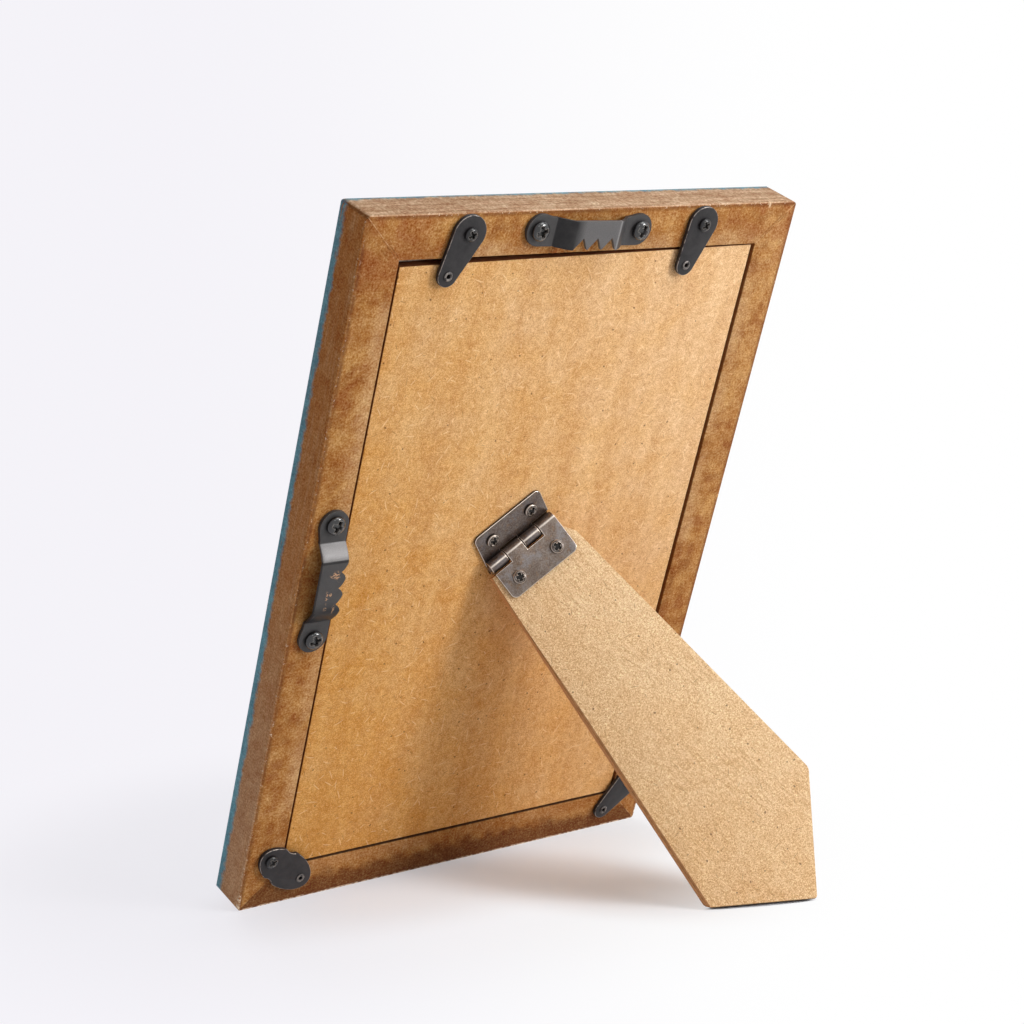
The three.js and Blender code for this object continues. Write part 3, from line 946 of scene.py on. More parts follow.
@dataclass(frozen=True)
class BlackSteel(Finish):
    """Satin black steel of the hangers and turn buttons, bare where its edges are rubbed."""

    effects: Effects
    name: str
    slot: str = "black_steel"
    place: Matrix = field(default_factory=Matrix)
    noises: tuple = (("cloud", 0.5, 4.0, 0.6), ("fine", 5.0, 3.0, 0.65))
    dark: tuple = tint(38, 36, 37)
    light: tuple = tint(52, 49, 50)
    grit: Stops = ((0.3, (0.4, 0.4, 0.4, 1)), (0.7, (0.6, 0.6, 0.6, 1)))
    # Colour of metal rubbed bright and of painted sheen.
    polished_sheen: tuple = tint(150, 147, 146)
    gloss: tuple = (0.34, 0.48)
    wear: float = 0.1
    bare: Layer = Layer(tint(178, 168, 160), 0.8)
    # Painted shade in the screws' cross recesses.
    painted_shade: Layer = Layer(tint(10, 9, 9), 0.85)
    chips: bool = False
    chip_middle: tuple = (1.2, 0.7)
    chip_noises: tuple = (("patch", 0.45, 2.0, 0.5), ("veins", 0.9, 2.0, 0.6))
    rust: Layer = Layer(tint(206, 160, 120), 0.8, patch=(0.49, 0.55), vein=(0.08, 0.03), along=(6.0, 4.5),
                        aside=(1.7, 1.0), out=(3.3, 3.5))
    coat: float = 0.0

    def _chipped(self, graph: Graph, spot: Socket, colour: Socket) -> Socket:
        """The rusty chips along the notches.

        Args:
            graph: the material's graph.
            spot: coordinates of the noises.
            colour: the colour underneath.

        Returns:
            The colour with the chips on it.
        """
        along, aside, out = graph.split(graph.local(self.place))
        middle, line = self.chip_middle
        on = graph.noises(spot, self.chip_noises)
        on |= {"vein": graph.apart(on["veins"], 0.5), "along": graph.apart(along, middle),
               "aside": graph.apart(aside, line), "out": out}
        return self.rust.over(graph, colour, on)

    def build(self, graph: Graph) -> None:
        """Builds the black, lightened where it is handled and where sheen is painted on, the bare edges,
        painted shade in the recesses and any rusty chips.
        """
        spot = graph.local(Matrix())
        on = graph.noises(spot, self.noises)
        cloud, fine = on["cloud"], on["fine"]
        colour = graph.ramp(cloud, [(0.35, self.dark), (0.65, self.light)])
        colour = graph.mix(0.6, colour, graph.ramp(fine, self.grit), "OVERLAY")
        # Handled metal and painted sheen lighten the black.
        polish_and_sheen = graph.times(graph.mark(POLISH_AND_SHEEN), graph.spread(fine, 0.45, 1.1))
        colour = graph.mix(polish_and_sheen, colour, self.polished_sheen)
        if self.chips:
            colour = self._chipped(graph, spot, colour)
        worn = graph.effect(self.effects.worn, Vector=spot, Bias=self.wear).outputs["Mask"]
        colour = self.bare.over(graph, colour, on, worn)
        colour = self.painted_shade.over(graph, colour, on, graph.mark(SIDE_AND_SHADE))
        rough = graph.math("SUBTRACT", graph.spread(cloud, *self.gloss), graph.times(worn, 0.1))
        height = graph.plus(graph.times(fine, 0.5), graph.times(cloud, 0.5))
        metal = graph.math("MAXIMUM", graph.times(worn, 0.6), graph.times(polish_and_sheen, 0.5))
        self.surface(graph, height, 0.012, Base_Color=colour, Roughness=rough, Specular_IOR_Level=0.28,
                     Metallic=metal, Coat_Weight=self.coat, Coat_Roughness=0.12)


@dataclass(frozen=True)
class AgedSteel(Finish):
    """Dark bronzed steel of the hinge, mottled brown and grey, pale along its edges."""

    effects: Effects
    name: str
    brown: tuple = tint(80, 65, 57)
    grey: tuple = tint(110, 98, 91)
    blue: tuple = tint(104, 100, 102)
    slot: str = "aged_steel"
    noises: tuple = (("cloud", 0.35, 5.0, 0.65), ("fine", 3.0, 3.0, 0.6), ("rust", 0.8, 4.0, 0.65),
                     ("blued", 0.3, 3.0, 0.6))
    rust: Layer = Layer(tint(124, 94, 68), 0.45, rust=(0.54, 0.66))
    # A pale line painted along the knuckles as a highlight, standing in for light caught by the barrel.
    crest_highlight: Layer = Layer(tint(224, 212, 198), 0.8)
    wear_bias: float = 0.3
    bare: Layer = Layer(tint(226, 212, 198), 0.9)
    # Painted shade on the leaves' cut sides, under the screw heads and in their recesses.
    painted_shade: Layer = Layer(tint(14, 11, 10), 0.9)

    def build(self, graph: Graph) -> None:
        """Builds the mottled bronze, a pale line painted as a highlight along the knuckles, the bare edges
        and painted shade on the cut sides, under the screw heads and in their recesses.
        """
        spot = graph.local(Matrix())
        on = graph.noises(spot, self.noises)
        mottle = graph.plus(graph.times(on["cloud"], 0.65), graph.times(on["fine"], 0.35))
        colour = graph.ramp(mottle, [(0.36, self.brown), (0.64, self.grey)])
        for layer in (self.rust, Layer(self.blue, 0.5, blued=(0.5, 0.62))):
            colour = layer.over(graph, colour, on)
        colour = graph.shade(colour, on["fine"], 0.12)
        worn = graph.effect(self.effects.worn, Vector=spot, Bias=self.wear_bias).outputs["Mask"]
        masks = (graph.mark(POLISH_AND_SHEEN), worn, graph.mark(SIDE_AND_SHADE))
        for layer, mask in zip((self.crest_highlight, self.bare, self.painted_shade), masks):
            colour = layer.over(graph, colour, on, mask)
        rough = graph.math("SUBTRACT", graph.spread(mottle, 0.26, 0.42), graph.times(worn, 0.06))
        self.surface(graph, mottle, 0.012, Base_Color=colour, Roughness=rough, Metallic=0.85,
                     Coat_Weight=0.35, Coat_Roughness=0.16)


@dataclass(frozen=True)
class ClearGlass(Finish):
    """Clear float glass with faint smears."""

    place: Matrix
    name: str = "clear_glass"
    slot: str = "clear_glass"

    def build(self, graph: Graph) -> None:
        """Builds the glass, which lets the light through to the print."""
        spot = graph.local(self.place)
        smear = graph.noise(graph.stretch(spot, 0.05, 0.02, 0.1, 30.0), 1.0, 4.0, 0.6)
        shader = self.surface(graph, smear, 0.004, Base_Color=(0.93, 0.97, 0.96, 1.0), IOR=1.5,
                              Transmission_Weight=1.0, Roughness=graph.spread(smear, 0.0, 0.06))
        clear = graph.add("ShaderNodeBsdfTransparent")
        clear.inputs[0].default_value = (0.95, 0.98, 0.97, 1.0)
        shadow = graph.add("ShaderNodeLightPath").outputs["Is Shadow Ray"]
        output = next(node for node in graph.tree.nodes if node.type == "OUTPUT_MATERIAL")
        graph.feed(output.inputs["Surface"], graph.either(shadow, shader.outputs[0], clear.outputs[0]))


@dataclass(frozen=True)
class PrintPaper(Finish):
    """A plain insert sheet: a soft pale gradient inside a white border."""

    place: Matrix
    width: float
    height: float
    middle: float
    name: str = "print_paper"
    slot: str = "print_paper"
    border: float = 12.0

    def build(self, graph: Graph) -> None:
        """Builds the gradient, the border and the paper's tooth."""
        spot = graph.local(self.place)
        across, up, _ = graph.split(spot)
        rise = graph.math("SUBTRACT", up, self.middle)
        drift = graph.spread(graph.noise(graph.stretch(spot, 0.012, 0.03, 0.1), 1.0, 3.0, 0.5), -34.0, 34.0)
        level = graph.step(graph.plus(rise, drift), -self.height / 2, self.height / 2)
        colour = graph.ramp(level, [(0.0, tint(190, 186, 170)), (0.4, tint(212, 206, 190)),
                                    (0.6, tint(206, 214, 214)), (1.0, tint(176, 196, 204))])
        from_side = graph.math("SUBTRACT", self.width / 2, graph.math("ABSOLUTE", across))
        from_end = graph.math("SUBTRACT", self.height / 2, graph.math("ABSOLUTE", rise))
        inside = graph.step(graph.math("MINIMUM", from_side, from_end), self.border - 0.1, self.border + 0.1)
        colour = graph.mix(inside, tint(240, 238, 230), colour)
        tooth = graph.noise(spot, 5.0, 2.0, 0.6)
        self.surface(graph, tooth, 0.01, Base_Color=colour, Roughness=graph.spread(tooth, 0.45, 0.65))


class Shapes:
    """Shaping steps that several pieces share, on a bmesh in millimetres."""

    @staticmethod
    def start() -> bmesh.types.BMesh:
        """An empty bmesh with the marks that the finishes read."""
        mesh = bmesh.new()
        for mark in (WEAR, SIDE_AND_SHADE, POLISH_AND_SHEEN):
            mesh.verts.layers.float.new(mark)
        return mesh

    @staticmethod
    def outline(mesh: bmesh.types.BMesh, points: Iterable[Sequence[float]]) -> bmesh.types.BMFace:
        """A flat face through corner points, in order."""
        return mesh.faces.new([mesh.verts.new(point) for point in points])

    @staticmethod
    def outward(mesh: bmesh.types.BMesh) -> None:
        """Points all faces outwards."""
        bmesh.ops.recalc_face_normals(mesh, faces=mesh.faces[:])

    @staticmethod
    def round_corners(mesh: bmesh.types.BMesh, corners: Iterable[bmesh.types.BMVert], radius: float,
                      segments: int) -> None:
        """Rounds corners of a flat face."""
        bmesh.ops.bevel(mesh, geom=list(corners), offset=radius, offset_type="OFFSET", segments=segments,
                        profile=0.5, affect="VERTICES", clamp_overlap=True, material=-1)

    @staticmethod
    def push(mesh: bmesh.types.BMesh, faces: Iterable[bmesh.types.BMFace], move: Sequence[float]) -> list:
        """Extrudes faces along a vector.

        Args:
            mesh: where they are.
            faces: what is extruded.
            move: how far.

        Returns:
            The vertices of the moved end.
        """
        made = bmesh.ops.extrude_face_region(mesh, geom=list(faces))
        verts = [item for item in made["geom"] if isinstance(item, bmesh.types.BMVert)]
        bmesh.ops.translate(mesh, vec=Vector(move), verts=verts)
        Shapes.outward(mesh)
        return verts

    @staticmethod
    def soften(mesh: bmesh.types.BMesh, edges: Iterable[bmesh.types.BMEdge], width: float,
               segments: int = 3) -> None:
        """Rounds edges, and marks the middle of the rounding as where wear shows.

        Args:
            mesh: where they are.
            edges: what is rounded.
            width: how far the rounding reaches.
            segments: its steps.
        """
        made = bmesh.ops.bevel(mesh, geom=list(edges), offset=width, offset_type="OFFSET", segments=segments,
                               profile=0.5, affect="EDGES", clamp_overlap=True, material=-1)
        wear = mesh.verts.layers.float[WEAR]
        strip = set(made["faces"])
        for vert in made["verts"]:
            if vert.is_valid and all(face in strip for face in vert.link_faces):
                vert[wear] = 1.0

    @staticmethod
    def sharp(mesh: bmesh.types.BMesh, degrees: float = 40.0) -> list:
        """The edges at which two faces meet at more than an angle."""
        limit = math.radians(degrees)
        return [edge for edge in mesh.edges if len(edge.link_faces) == 2 and edge.calc_face_angle() > limit]

    @staticmethod
    def slice(mesh: bmesh.types.BMesh, point: Sequence[float], normal: Sequence[float], keep: bool = False,
              faces: Iterable[bmesh.types.BMFace] | None = None) -> None:
        """Cuts a mesh along a plane, and closes it unless both sides are kept.

        Args:
            mesh: what is cut.
            point: a point of the plane.
            normal: its normal, towards the side that goes.
            keep: whether that side stays.
            faces: the faces to cut, or none for all.
        """
        cut = list(mesh.faces if faces is None else faces)
        edges = {edge for face in cut for edge in face.edges}
        verts = {vert for face in cut for vert in face.verts}
        made = bmesh.ops.bisect_plane(mesh, geom=[*verts, *edges, *cut], dist=1e-5, plane_co=Vector(point),
                                      plane_no=Vector(normal), clear_outer=not keep)
        if not keep:
            rim = [item for item in made["geom_cut"] if isinstance(item, bmesh.types.BMEdge)]
            bmesh.ops.contextual_create(mesh, geom=rim)

    @staticmethod
    def turned(mesh: bmesh.types.BMesh, profile: Sequence[tuple], steps: int, closed: bool = False,
               place: Matrix = Matrix()) -> list:
        """Spins a profile of radii and heights about Z.

        Args:
            mesh: where it goes.
            profile: radius and height of each point.
            steps: steps of the turn.
            closed: whether the profile joins up with its start.
            place: where the turned shape goes.

        Returns:
            Its vertices.
        """
        before = set(mesh.verts)
        points = [mesh.verts.new((radius, 0.0, height)) for radius, height in profile]
        pairs = list(zip(points, points[1:])) + ([(points[-1], points[0])] if closed else [])
        edges = [mesh.edges.new(pair) for pair in pairs]
        bmesh.ops.spin(mesh, geom=[*points, *edges], cent=(0, 0, 0), axis=(0, 0, 1), angle=math.tau,
                       steps=steps, use_merge=True)
        made = [vert for vert in mesh.verts if vert not in before]
        bmesh.ops.remove_doubles(mesh, verts=made, dist=NEAR)
        made = [vert for vert in mesh.verts if vert not in before]
        bmesh.ops.recalc_face_normals(mesh, faces=list({face for vert in made for face in vert.link_faces}))
        bmesh.ops.transform(mesh, matrix=place, verts=made)
        return made

    @staticmethod
    def mark_sides(mesh: bmesh.types.BMesh, bottom: float, top: float, margin: float) -> None:
        """Marks the vertices on the cut sides of a flat board.

        Args:
            mesh: the board, flat along Z.
            bottom: height of its lower face.
            top: height of its upper face.
            margin: width of its softened edges.
        """
        side = mesh.verts.layers.float[SIDE_AND_SHADE]
        for vert in mesh.verts:
            if bottom + margin * ROUNDED < vert.co.z < top - margin * ROUNDED:
                vert[side] = 1.0


@dataclass(frozen=True)
class Piece:
    """A piece of the scene: the node that it stands for, its body and its finish.

    Edges sharper than the angle of smooth, in degrees, stay sharp.
    """

    node: str
    body: str
    finish: Finish
    smooth: float = 35.0

    def make(self, mesh: bmesh.types.BMesh, place: Matrix) -> None:
        """Puts the mesh in its place and hands it to the frame.

        Args:
            mesh: the shape, in millimetres in its own frame; it is used up.
            place: the matrix from that frame to the row frame, in millimetres.
        """
        Shapes.outward(mesh)
        mesh.transform(Matrix.Diagonal((MM, MM, MM, 1.0)) @ place)
        for face in mesh.faces:
            face.smooth = True
        data = bpy.data.meshes.new(self.node)
        mesh.to_mesh(data)
        mesh.free()
        data.set_sharp_from_angle(angle=math.radians(self.smooth))
        data.materials.append(self.finish.material())
        piece = placed(f"{self.node}_dressed", data)
        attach(piece, self.body)
        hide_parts(self.node)
        LOG.info("%s: %d faces on %s", piece.name, len(data.polygons), self.body)


@dataclass
class RailFrame:
    """Four mitred rails with a rabbet behind their front lip."""

    stance: Stance
    effects: Effects
    width: float = 10.4
    thickness: float = 10.6
    lip: float = 5.0
    rabbet: float = 6.1
    edge_round: float = 0.5
    front_round: float = 0.8
    inner_round: float = 0.12
    corner_round: float = 1.6
    corner_steps: int = 5
    mitre_gap: float = 0.02
    paint_across: float = 9.6
    paint_up: float = 8.4

    def _stock(self, length: float) -> bmesh.types.BMesh:
        """A straight length of moulding with softened edges.

        Args:
            length: how long it is.

        Returns:
            The moulding, lying along X.
        """
        deep = self.width + self.lip
        corners = [(0.0, 0.0), (0.0, -self.thickness), (deep, -self.thickness), (deep, -self.rabbet),
                   (self.width, -self.rabbet), (self.width, 0.0)]
        mesh = Shapes.start()
        profile = Shapes.outline(mesh, [(-length / 2, y, z) for y, z in corners])
        Shapes.push(mesh, [profile], (length, 0, 0))

        def long_edges(places: Iterable[tuple]) -> list:
            """The long edges at these places of the profile."""
            return [edge for edge in mesh.edges
                    if abs(edge.verts[0].co.x - edge.verts[1].co.x) > length / 2
                    and any((edge.verts[0].co.yz - Vector(place)).length < NEAR for place in places)]

        Shapes.soften(mesh, long_edges(corners[1:2]), self.front_round, 6)
        Shapes.soften(mesh, long_edges([corners[0], corners[2]]), self.edge_round, 4)
        Shapes.soften(mesh, long_edges(corners[5:]), self.inner_round, 2)
        return mesh

    def _mitred(self, length: float) -> bmesh.types.BMesh:
        """A rail: moulding cut to its mitres, with its half of each rounded corner.

        Args:
            length: length over the corners.

        Returns:
            The rail.
        """
        mesh = self._stock(length)
        tip = length / 2 - self.mitre_gap / 2
        centre = tip - self.corner_round
        for end in (-1, 1):
            Shapes.slice(mesh, (end * tip, 0, 0), (end, 1, 0))
            for step in range(1, self.corner_steps + 1):
                turn = math.radians(45.0) * step / self.corner_steps
                normal = Vector((end * math.sin(turn), -math.cos(turn), 0))
                middle = Vector((end * centre, self.corner_round, 0))
                Shapes.slice(mesh, middle + normal * self.corner_round, normal)
        return mesh

    def build(self) -> None:
        """Builds the four rails."""
        for side in Side:
            level = side in (Side.TOP, Side.BOTTOM)
            length = self.stance.width if level else self.stance.height
            run = Run.ACROSS if level else Run.UP
            paint_from = self.paint_across if level else self.paint_up
            finish = StainedBoard(self.effects, run, f"stained_rail_{run.value}", paint_from)
            Piece(f"{side.value}_rail", "frame", finish).make(self._mitred(length), self.stance.rail(side))


@dataclass
class PictureStack:
    """The glass, the insert sheet and the back panel, in the rabbet."""

    stance: Stance
    effects: Effects
    hinge: Matrix
    print_size: tuple = (101.6, 152.4)
    panel_half_width: float = 50.8
    panel_bottom: float = 10.9
    panel_top: float = 165.5
    panel_drop: float = 1.3
    panel_back: float = -0.4
    panel_thickness: float = 3.0
    edge: float = 0.14

    def _panel(self) -> bmesh.types.BMesh:
        """The panel, whose top edge falls away to the left.

        Returns:
            The panel in the back view.
        """
        half = self.panel_half_width
        front = self.panel_back - self.panel_thickness
        mesh = Shapes.start()
        board = Shapes.outline(mesh, [
            (-half, self.panel_bottom, front),
            (half, self.panel_bottom, front),
            (half, self.panel_top, front),
            (-half, self.panel_top - self.panel_drop, front),
        ])
        Shapes.push(mesh, [board], (0, 0, self.panel_thickness))
        Shapes.soften(mesh, mesh.edges[:], self.edge)
        Shapes.mark_sides(mesh, front, self.panel_back, self.edge)
        return mesh

    def build(self) -> None:
        """Builds the panel, and dresses the glass and the insert sheet."""
        back = self.stance.back()
        finish = BareBoard(self.effects, back, self.hinge, "bare_panel",
                           tones=(tint(212, 151, 77), tint(217, 166, 106), tint(222, 178, 129)),
                           fade=(1 / 160, 1 / 300, 0.2), band=(0.13, 0.014))
        Piece("back_panel", "frame", finish).make(self._panel(), back)
        paper = PrintPaper(back, *self.print_size, self.stance.height / 2)
        for node, cover in (("glass_pane", ClearGlass(back)), ("photo_print", paper)):
            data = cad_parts[node].data
            data.materials.clear()
            data.materials.append(cover.material())
            LOG.info("%s: dressed", node)


@dataclass(frozen=True)
class CrossScrew:
    """A screw with a domed head and a cross recess."""

    head: float
    height: float
    shank: float
    length: float
    rim: float = 0.3
    chamfer: float = 0.08
    steps: int = 48
    fullness: float = 0.62
    slot_reach: float = 0.66
    slot_width: float = 0.4
    slot_depth: float = 0.72
    slot_taper: float = 0.72
    slot_wear: float = 0.6
    rim_from: float = 0.88
    rim_wear: float = 0.0
    # Painted shadow round the foot of the head: how high it reaches, as a share of the rim, and how dark it
    # is.
    skirt_shade_top: float = 0.5
    skirt_shade: float = 0.0

    def shape(self) -> bmesh.types.BMesh:
        """The screw, standing on Z = 0 under its head.

        Returns:
            The screw in its own frame.
        """
        mesh = Shapes.start()
        rim = self.height * self.rim
        dome = [(self.head * math.cos(turn) ** self.fullness, rim + (self.height - rim) * math.sin(turn))
                for turn in (math.radians(10.0 * step) for step in range(9))]
        dome.append((0.0, self.height))
        profile = [(0.0, -self.length), (self.shank, self.shank - self.length), (self.shank, 0.0),
                   (self.head - self.chamfer, 0.0), (self.head, self.chamfer), *dome]
        wear, painted_shade = mesh.verts.layers.float[WEAR], mesh.verts.layers.float[SIDE_AND_SHADE]
        for vert in Shapes.turned(mesh, profile, self.steps):
            # The foot of the head gets painted shadow, and its rim gets wear.
            if vert.co.z <= self.skirt_shade_top * rim:
                vert[painted_shade] = self.skirt_shade
            elif vert.co.xy.length > self.rim_from * self.head:
                vert[wear] = self.rim_wear
        self._recess(mesh)
        return mesh

    def _recess(self, mesh: bmesh.types.BMesh) -> None:
        """Sinks the cross into the dome.

        Args:
            mesh: the turned screw.
        """
        reach, half = self.head * self.slot_reach, self.head * self.slot_width / 2
        for axis in (Vector((1, 0, 0)), Vector((0, 1, 0))):
            for place in (-reach, -half, half, reach):
                crown = [face for face in mesh.faces if face.calc_center_median().z > self.height * self.rim
                         and face.calc_center_median().xy.length < self.head]
                Shapes.slice(mesh, axis * place, axis, keep=True, faces=crown)

        def inside(face: bmesh.types.BMFace) -> bool:
            """Whether a face of the dome lies in the cross."""
            middle = face.calc_center_median()
            far, near = max(abs(middle.x), abs(middle.y)), min(abs(middle.x), abs(middle.y))
            return middle.z > self.height * self.rim and far < reach and near < half

        cross = [face for face in mesh.faces if inside(face)]
        rim = {vert for face in cross for vert in face.verts
               if any(not inside(other) for other in vert.link_faces)}
        wear, painted_shade = mesh.verts.layers.float[WEAR], mesh.verts.layers.float[SIDE_AND_SHADE]
        for vert in rim:
            vert[wear] = self.slot_wear
        floor = Shapes.push(mesh, cross, (0, 0, 0))
        bmesh.ops.delete(mesh, geom=cross, context="FACES")
        # The recess floor is painted dark as shade.
        for vert in floor:
            vert.co.z = self.height * (1.0 - self.slot_depth)
            vert.co.xy *= self.slot_taper
            vert[wear] = 0.0
            vert[painted_shade] = 1.0


@dataclass
class SawtoothHanger:
    """A stamped hanger: round tabs on the rail, a raised middle with notches, and its two screws."""

    stance: Stance
    effects: Effects
    side: Side
    name: str
    along: float
    inset: float
    tilt: float
    screw_names: tuple
    teeth: Teeth
    notch_depth: float
    notch_lean: float
    # Sheen painted on the raised middle, the ramps and the bends as light caught there, with some rubbing.
    raised_polish_sheen: float
    ramp_polish_sheen: float
    bend_polish_sheen: float
    chips: bool
    length: float = 36.0
    width: float = 7.5
    thickness: float = 0.8
    rise: float = 2.7
    raised: float = 12.3
    ramp: float = 4.0
    ease: float = 1.45
    bend: float = 0.5
    fade: float = 2.6
    # Sheen painted on the tabs, with some rubbing.
    tab_polish_sheen: float = 0.17
    waist: float = 0.7
    notches: int = 3
    notch_pitch: float = 4.1
    seat: float = 0.2
    screw_spacing: float = 29.2
    screw: CrossScrew = CrossScrew(2.3, 1.3, 0.9, 6.2, slot_width=0.46)
    columns: int = 180
    rows: int = 8
    edge: float = 0.2

    def _notch(self, along: float) -> float:
        """How far the notched edge is cut in.

        Args:
            along: place along the hanger.

        Returns:
            The depth there, 0 on the tabs.
        """
        start = self.notches * self.notch_pitch / 2
        if abs(along) >= start:
            return 0.0
        share = ((along + start) / self.notch_pitch) % 1.0
        apex = 0.5 + self.notch_lean
        rise = share / apex if share < apex else (1.0 - share) / (1.0 - apex)
        if self.teeth is Teeth.ROUND:
            rise = 0.65 * (1.0 - math.sqrt(1.0 - rise * rise)) + 0.35 * rise
        return self.notch_depth * rise

    def _polish_sheen(self, along: float) -> float:
        """How much sheen is painted on the black, with its rubbing.

        Args:
            along: place along the hanger.

        Returns:
            The share, from 0 to 1.
        """
        beyond = abs(along) - self.raised / 2
        if beyond > 0.98 * self.ramp:
            return self.tab_polish_sheen
        if along > 0:
            return self.raised_polish_sheen * min(max(-beyond / self.fade, 0.0), 1.0)
        if beyond > self.bend:
            return self.ramp_polish_sheen
        return self.bend_polish_sheen if beyond > -0.1 else self.raised_polish_sheen

    def _blank(self) -> bmesh.types.BMesh:
        """The flat blank: a grid drawn in to a round-ended strip with its notches and its waist.

        Returns:
            The blank, flat at Z = 0.
        """
        half = self.width / 2
        core, outer = self.length / 2 - half, self.raised / 2 + self.ramp
        mesh = Shapes.start()
        bmesh.ops.create_grid(mesh, x_segments=self.columns, y_segments=self.rows, size=1.0)
        for vert in mesh.verts:
            along, across = vert.co.x * self.length / 2, (vert.co.y + 1.0) / 2
            turn = max(abs(along) - core, 0.0) / half * math.pi / 2
            reach = half * math.cos(turn)
            share = min(max((core - abs(along)) / (core - outer), 0.0), 1.0)
            low = self.waist * share * share * (3 - 2 * share) - reach
            high = reach - self._notch(along)
            inward = min(abs(along), core) + half * math.sin(turn)
            vert.co = (math.copysign(inward, along), low + (high - low) * across, 0.0)
        bmesh.ops.remove_doubles(mesh, verts=mesh.verts[:], dist=1e-3)
        return mesh

    def _strip(self) -> bmesh.types.BMesh:
        """The finished hanger: the blank bent up in the middle, thickened and deburred.

        Returns:
            The hanger in its own frame.
        """
        mesh = self._blank()
        outer = self.raised / 2 + self.ramp
        polish_and_sheen = mesh.verts.layers.float[POLISH_AND_SHEEN]
        for vert in mesh.verts:
            share = min(max((outer - abs(vert.co.x)) / self.ramp, 0.0), 1.0)
            vert.co.z = self.seat + self.rise * (1.0 - (1.0 - share) ** self.ease)
            vert[polish_and_sheen] = self._polish_sheen(vert.co.x)
        Shapes.outward(mesh)
        Shapes.push(mesh, mesh.faces[:], (0, 0, self.thickness))
        Shapes.soften(mesh, Shapes.sharp(mesh, 55.0), self.edge)
        return mesh

    def build(self) -> None:
        """Builds the hanger and its screws."""
        place = self.stance.rail(self.side) @ at(self.along, self.inset, 0, self.tilt)
        steel = BlackSteel(self.effects, f"black_{self.name}", place=place, dark=tint(30, 28, 29),
                           light=tint(42, 40, 40), wear=0.4, chips=self.chips)
        Piece(self.name, "frame", steel).make(self._strip(), place)
        glossy = BlackSteel(self.effects, "black_screw", dark=tint(15, 14, 14), light=tint(26, 25, 25),
                            gloss=(0.2, 0.32), wear=0.25, coat=1.0)
        for end, name in zip((-1, 1), self.screw_names):
            seat = at(end * self.screw_spacing / 2, 0, 2 * self.seat + self.thickness, 20.0 * end)
            Piece(name, "frame", glossy).make(self.screw.shape(), place @ seat)


@dataclass
class TurnButton:
    """A tapered turn button with a raised eyelet at its tip, on its pivot screw."""

    stance: Stance
    effects: Effects
    side: Side
    corner: str
    pivot: tuple
    turn: float
    thickness: float = 1.0
    seat: float = 0.2
    pivot_lobe: float = 4.3
    tip_lobe: float = 2.6
    reach: float = 10.3
    pivot_hole: float = 1.15
    eyelet_radius: float = 1.2
    eyelet_hole: float = 0.5
    eyelet_rise: float = 0.35
    eyelet_wall: float = 0.08
    eyelet_wear: float = 0.6
    eyelet_clear: float = 0.3
    screw: CrossScrew = CrossScrew(1.6, 0.9, 0.9, 6.4)
    edge: float = 0.16
    steps: int = 72

    def _plan(self, mesh: bmesh.types.BMesh) -> None:
        """Draws the button's outline: a circle whose far half is moved out to the tip and made smaller.

        Args:
            mesh: where it goes.
        """
        made = bmesh.ops.create_circle(mesh, cap_ends=False, radius=self.pivot_lobe, segments=self.steps)
        slant = (self.pivot_lobe - self.tip_lobe) / self.reach * self.pivot_lobe
        far = [vert for vert in made["verts"] if vert.co.y > slant]
        bmesh.ops.scale(mesh, vec=Vector((1, 1, 1)) * (self.tip_lobe / self.pivot_lobe), verts=far)
        bmesh.ops.translate(mesh, vec=Vector((0, self.reach, 0)), verts=far)

    def _eyelet_reach(self) -> float:
        """How far the eyelet is from the pivot."""
        return self.reach

    def _plate(self) -> bmesh.types.BMesh:
        """The button with its two holes and its eyelet.

        Returns:
            The button, its pivot at the origin and its tip towards Y.
        """
        mesh = Shapes.start()
        self._plan(mesh)
        reach = self._eyelet_reach()
        bore = self.eyelet_hole + self.eyelet_wall
        bmesh.ops.create_circle(mesh, cap_ends=False, radius=self.pivot_hole, segments=32)
        bmesh.ops.create_circle(mesh, cap_ends=False, radius=bore, segments=32, matrix=at(0, reach))
        bmesh.ops.triangle_fill(mesh, use_beauty=True, use_dissolve=True, edges=mesh.edges[:],
                                normal=(0, 0, 1))
        bmesh.ops.translate(mesh, vec=(0, 0, self.seat), verts=mesh.verts[:])
        Shapes.push(mesh, mesh.faces[:], (0, 0, self.thickness))
        top = self.seat + self.thickness
        radius, rise = self.eyelet_radius, self.eyelet_rise
        holes = (Vector((0, 0)), Vector((0, reach)))
        rims = [edge for edge in Shapes.sharp(mesh)
                if min((edge.verts[0].co.xy - hole).length for hole in holes) > radius + self.eyelet_clear]
        Shapes.soften(mesh, rims, self.edge)
        low, high = self.seat + 0.02, top + rise
        ring = [(self.eyelet_hole, low), (bore - 0.01, low), (bore - 0.01, top - 0.03), (radius, top - 0.03),
                (radius * 0.97, top + rise * 0.45), (radius * 0.84, high - 0.06), (radius * 0.7, high),
                (self.eyelet_hole * 1.3, high - 0.04), (self.eyelet_hole, high - 0.18)]
        rim = Shapes.turned(mesh, ring, 36, closed=True, place=at(0, reach))
        wear = mesh.verts.layers.float[WEAR]
        for vert in rim:
            if vert.co.z > high - 0.1:
                vert[wear] = self.eyelet_wear
        return mesh

    def build(self) -> None:
        """Builds the button and its pivot screw."""
        place = self.stance.rail(self.side) @ at(*self.pivot)
        steel = BlackSteel(self.effects, "black_button", dark=tint(36, 34, 35), light=tint(48, 45, 46))
        Piece(f"turn_button_{self.corner}", f"button_{self.corner}", steel).make(
            self._plate(), place @ at(0, 0, 0, self.turn))
        seat = at(0, 0, 2 * self.seat + self.thickness, 30.0)
        glossy = BlackSteel(self.effects, "black_pivot", dark=tint(17, 16, 17), light=tint(28, 26, 27),
                            gloss=(0.24, 0.36), wear=0.2, coat=0.4)
        Piece(f"pivot_screw_{self.corner}", "frame", glossy).make(self.screw.shape(), place @ seat)


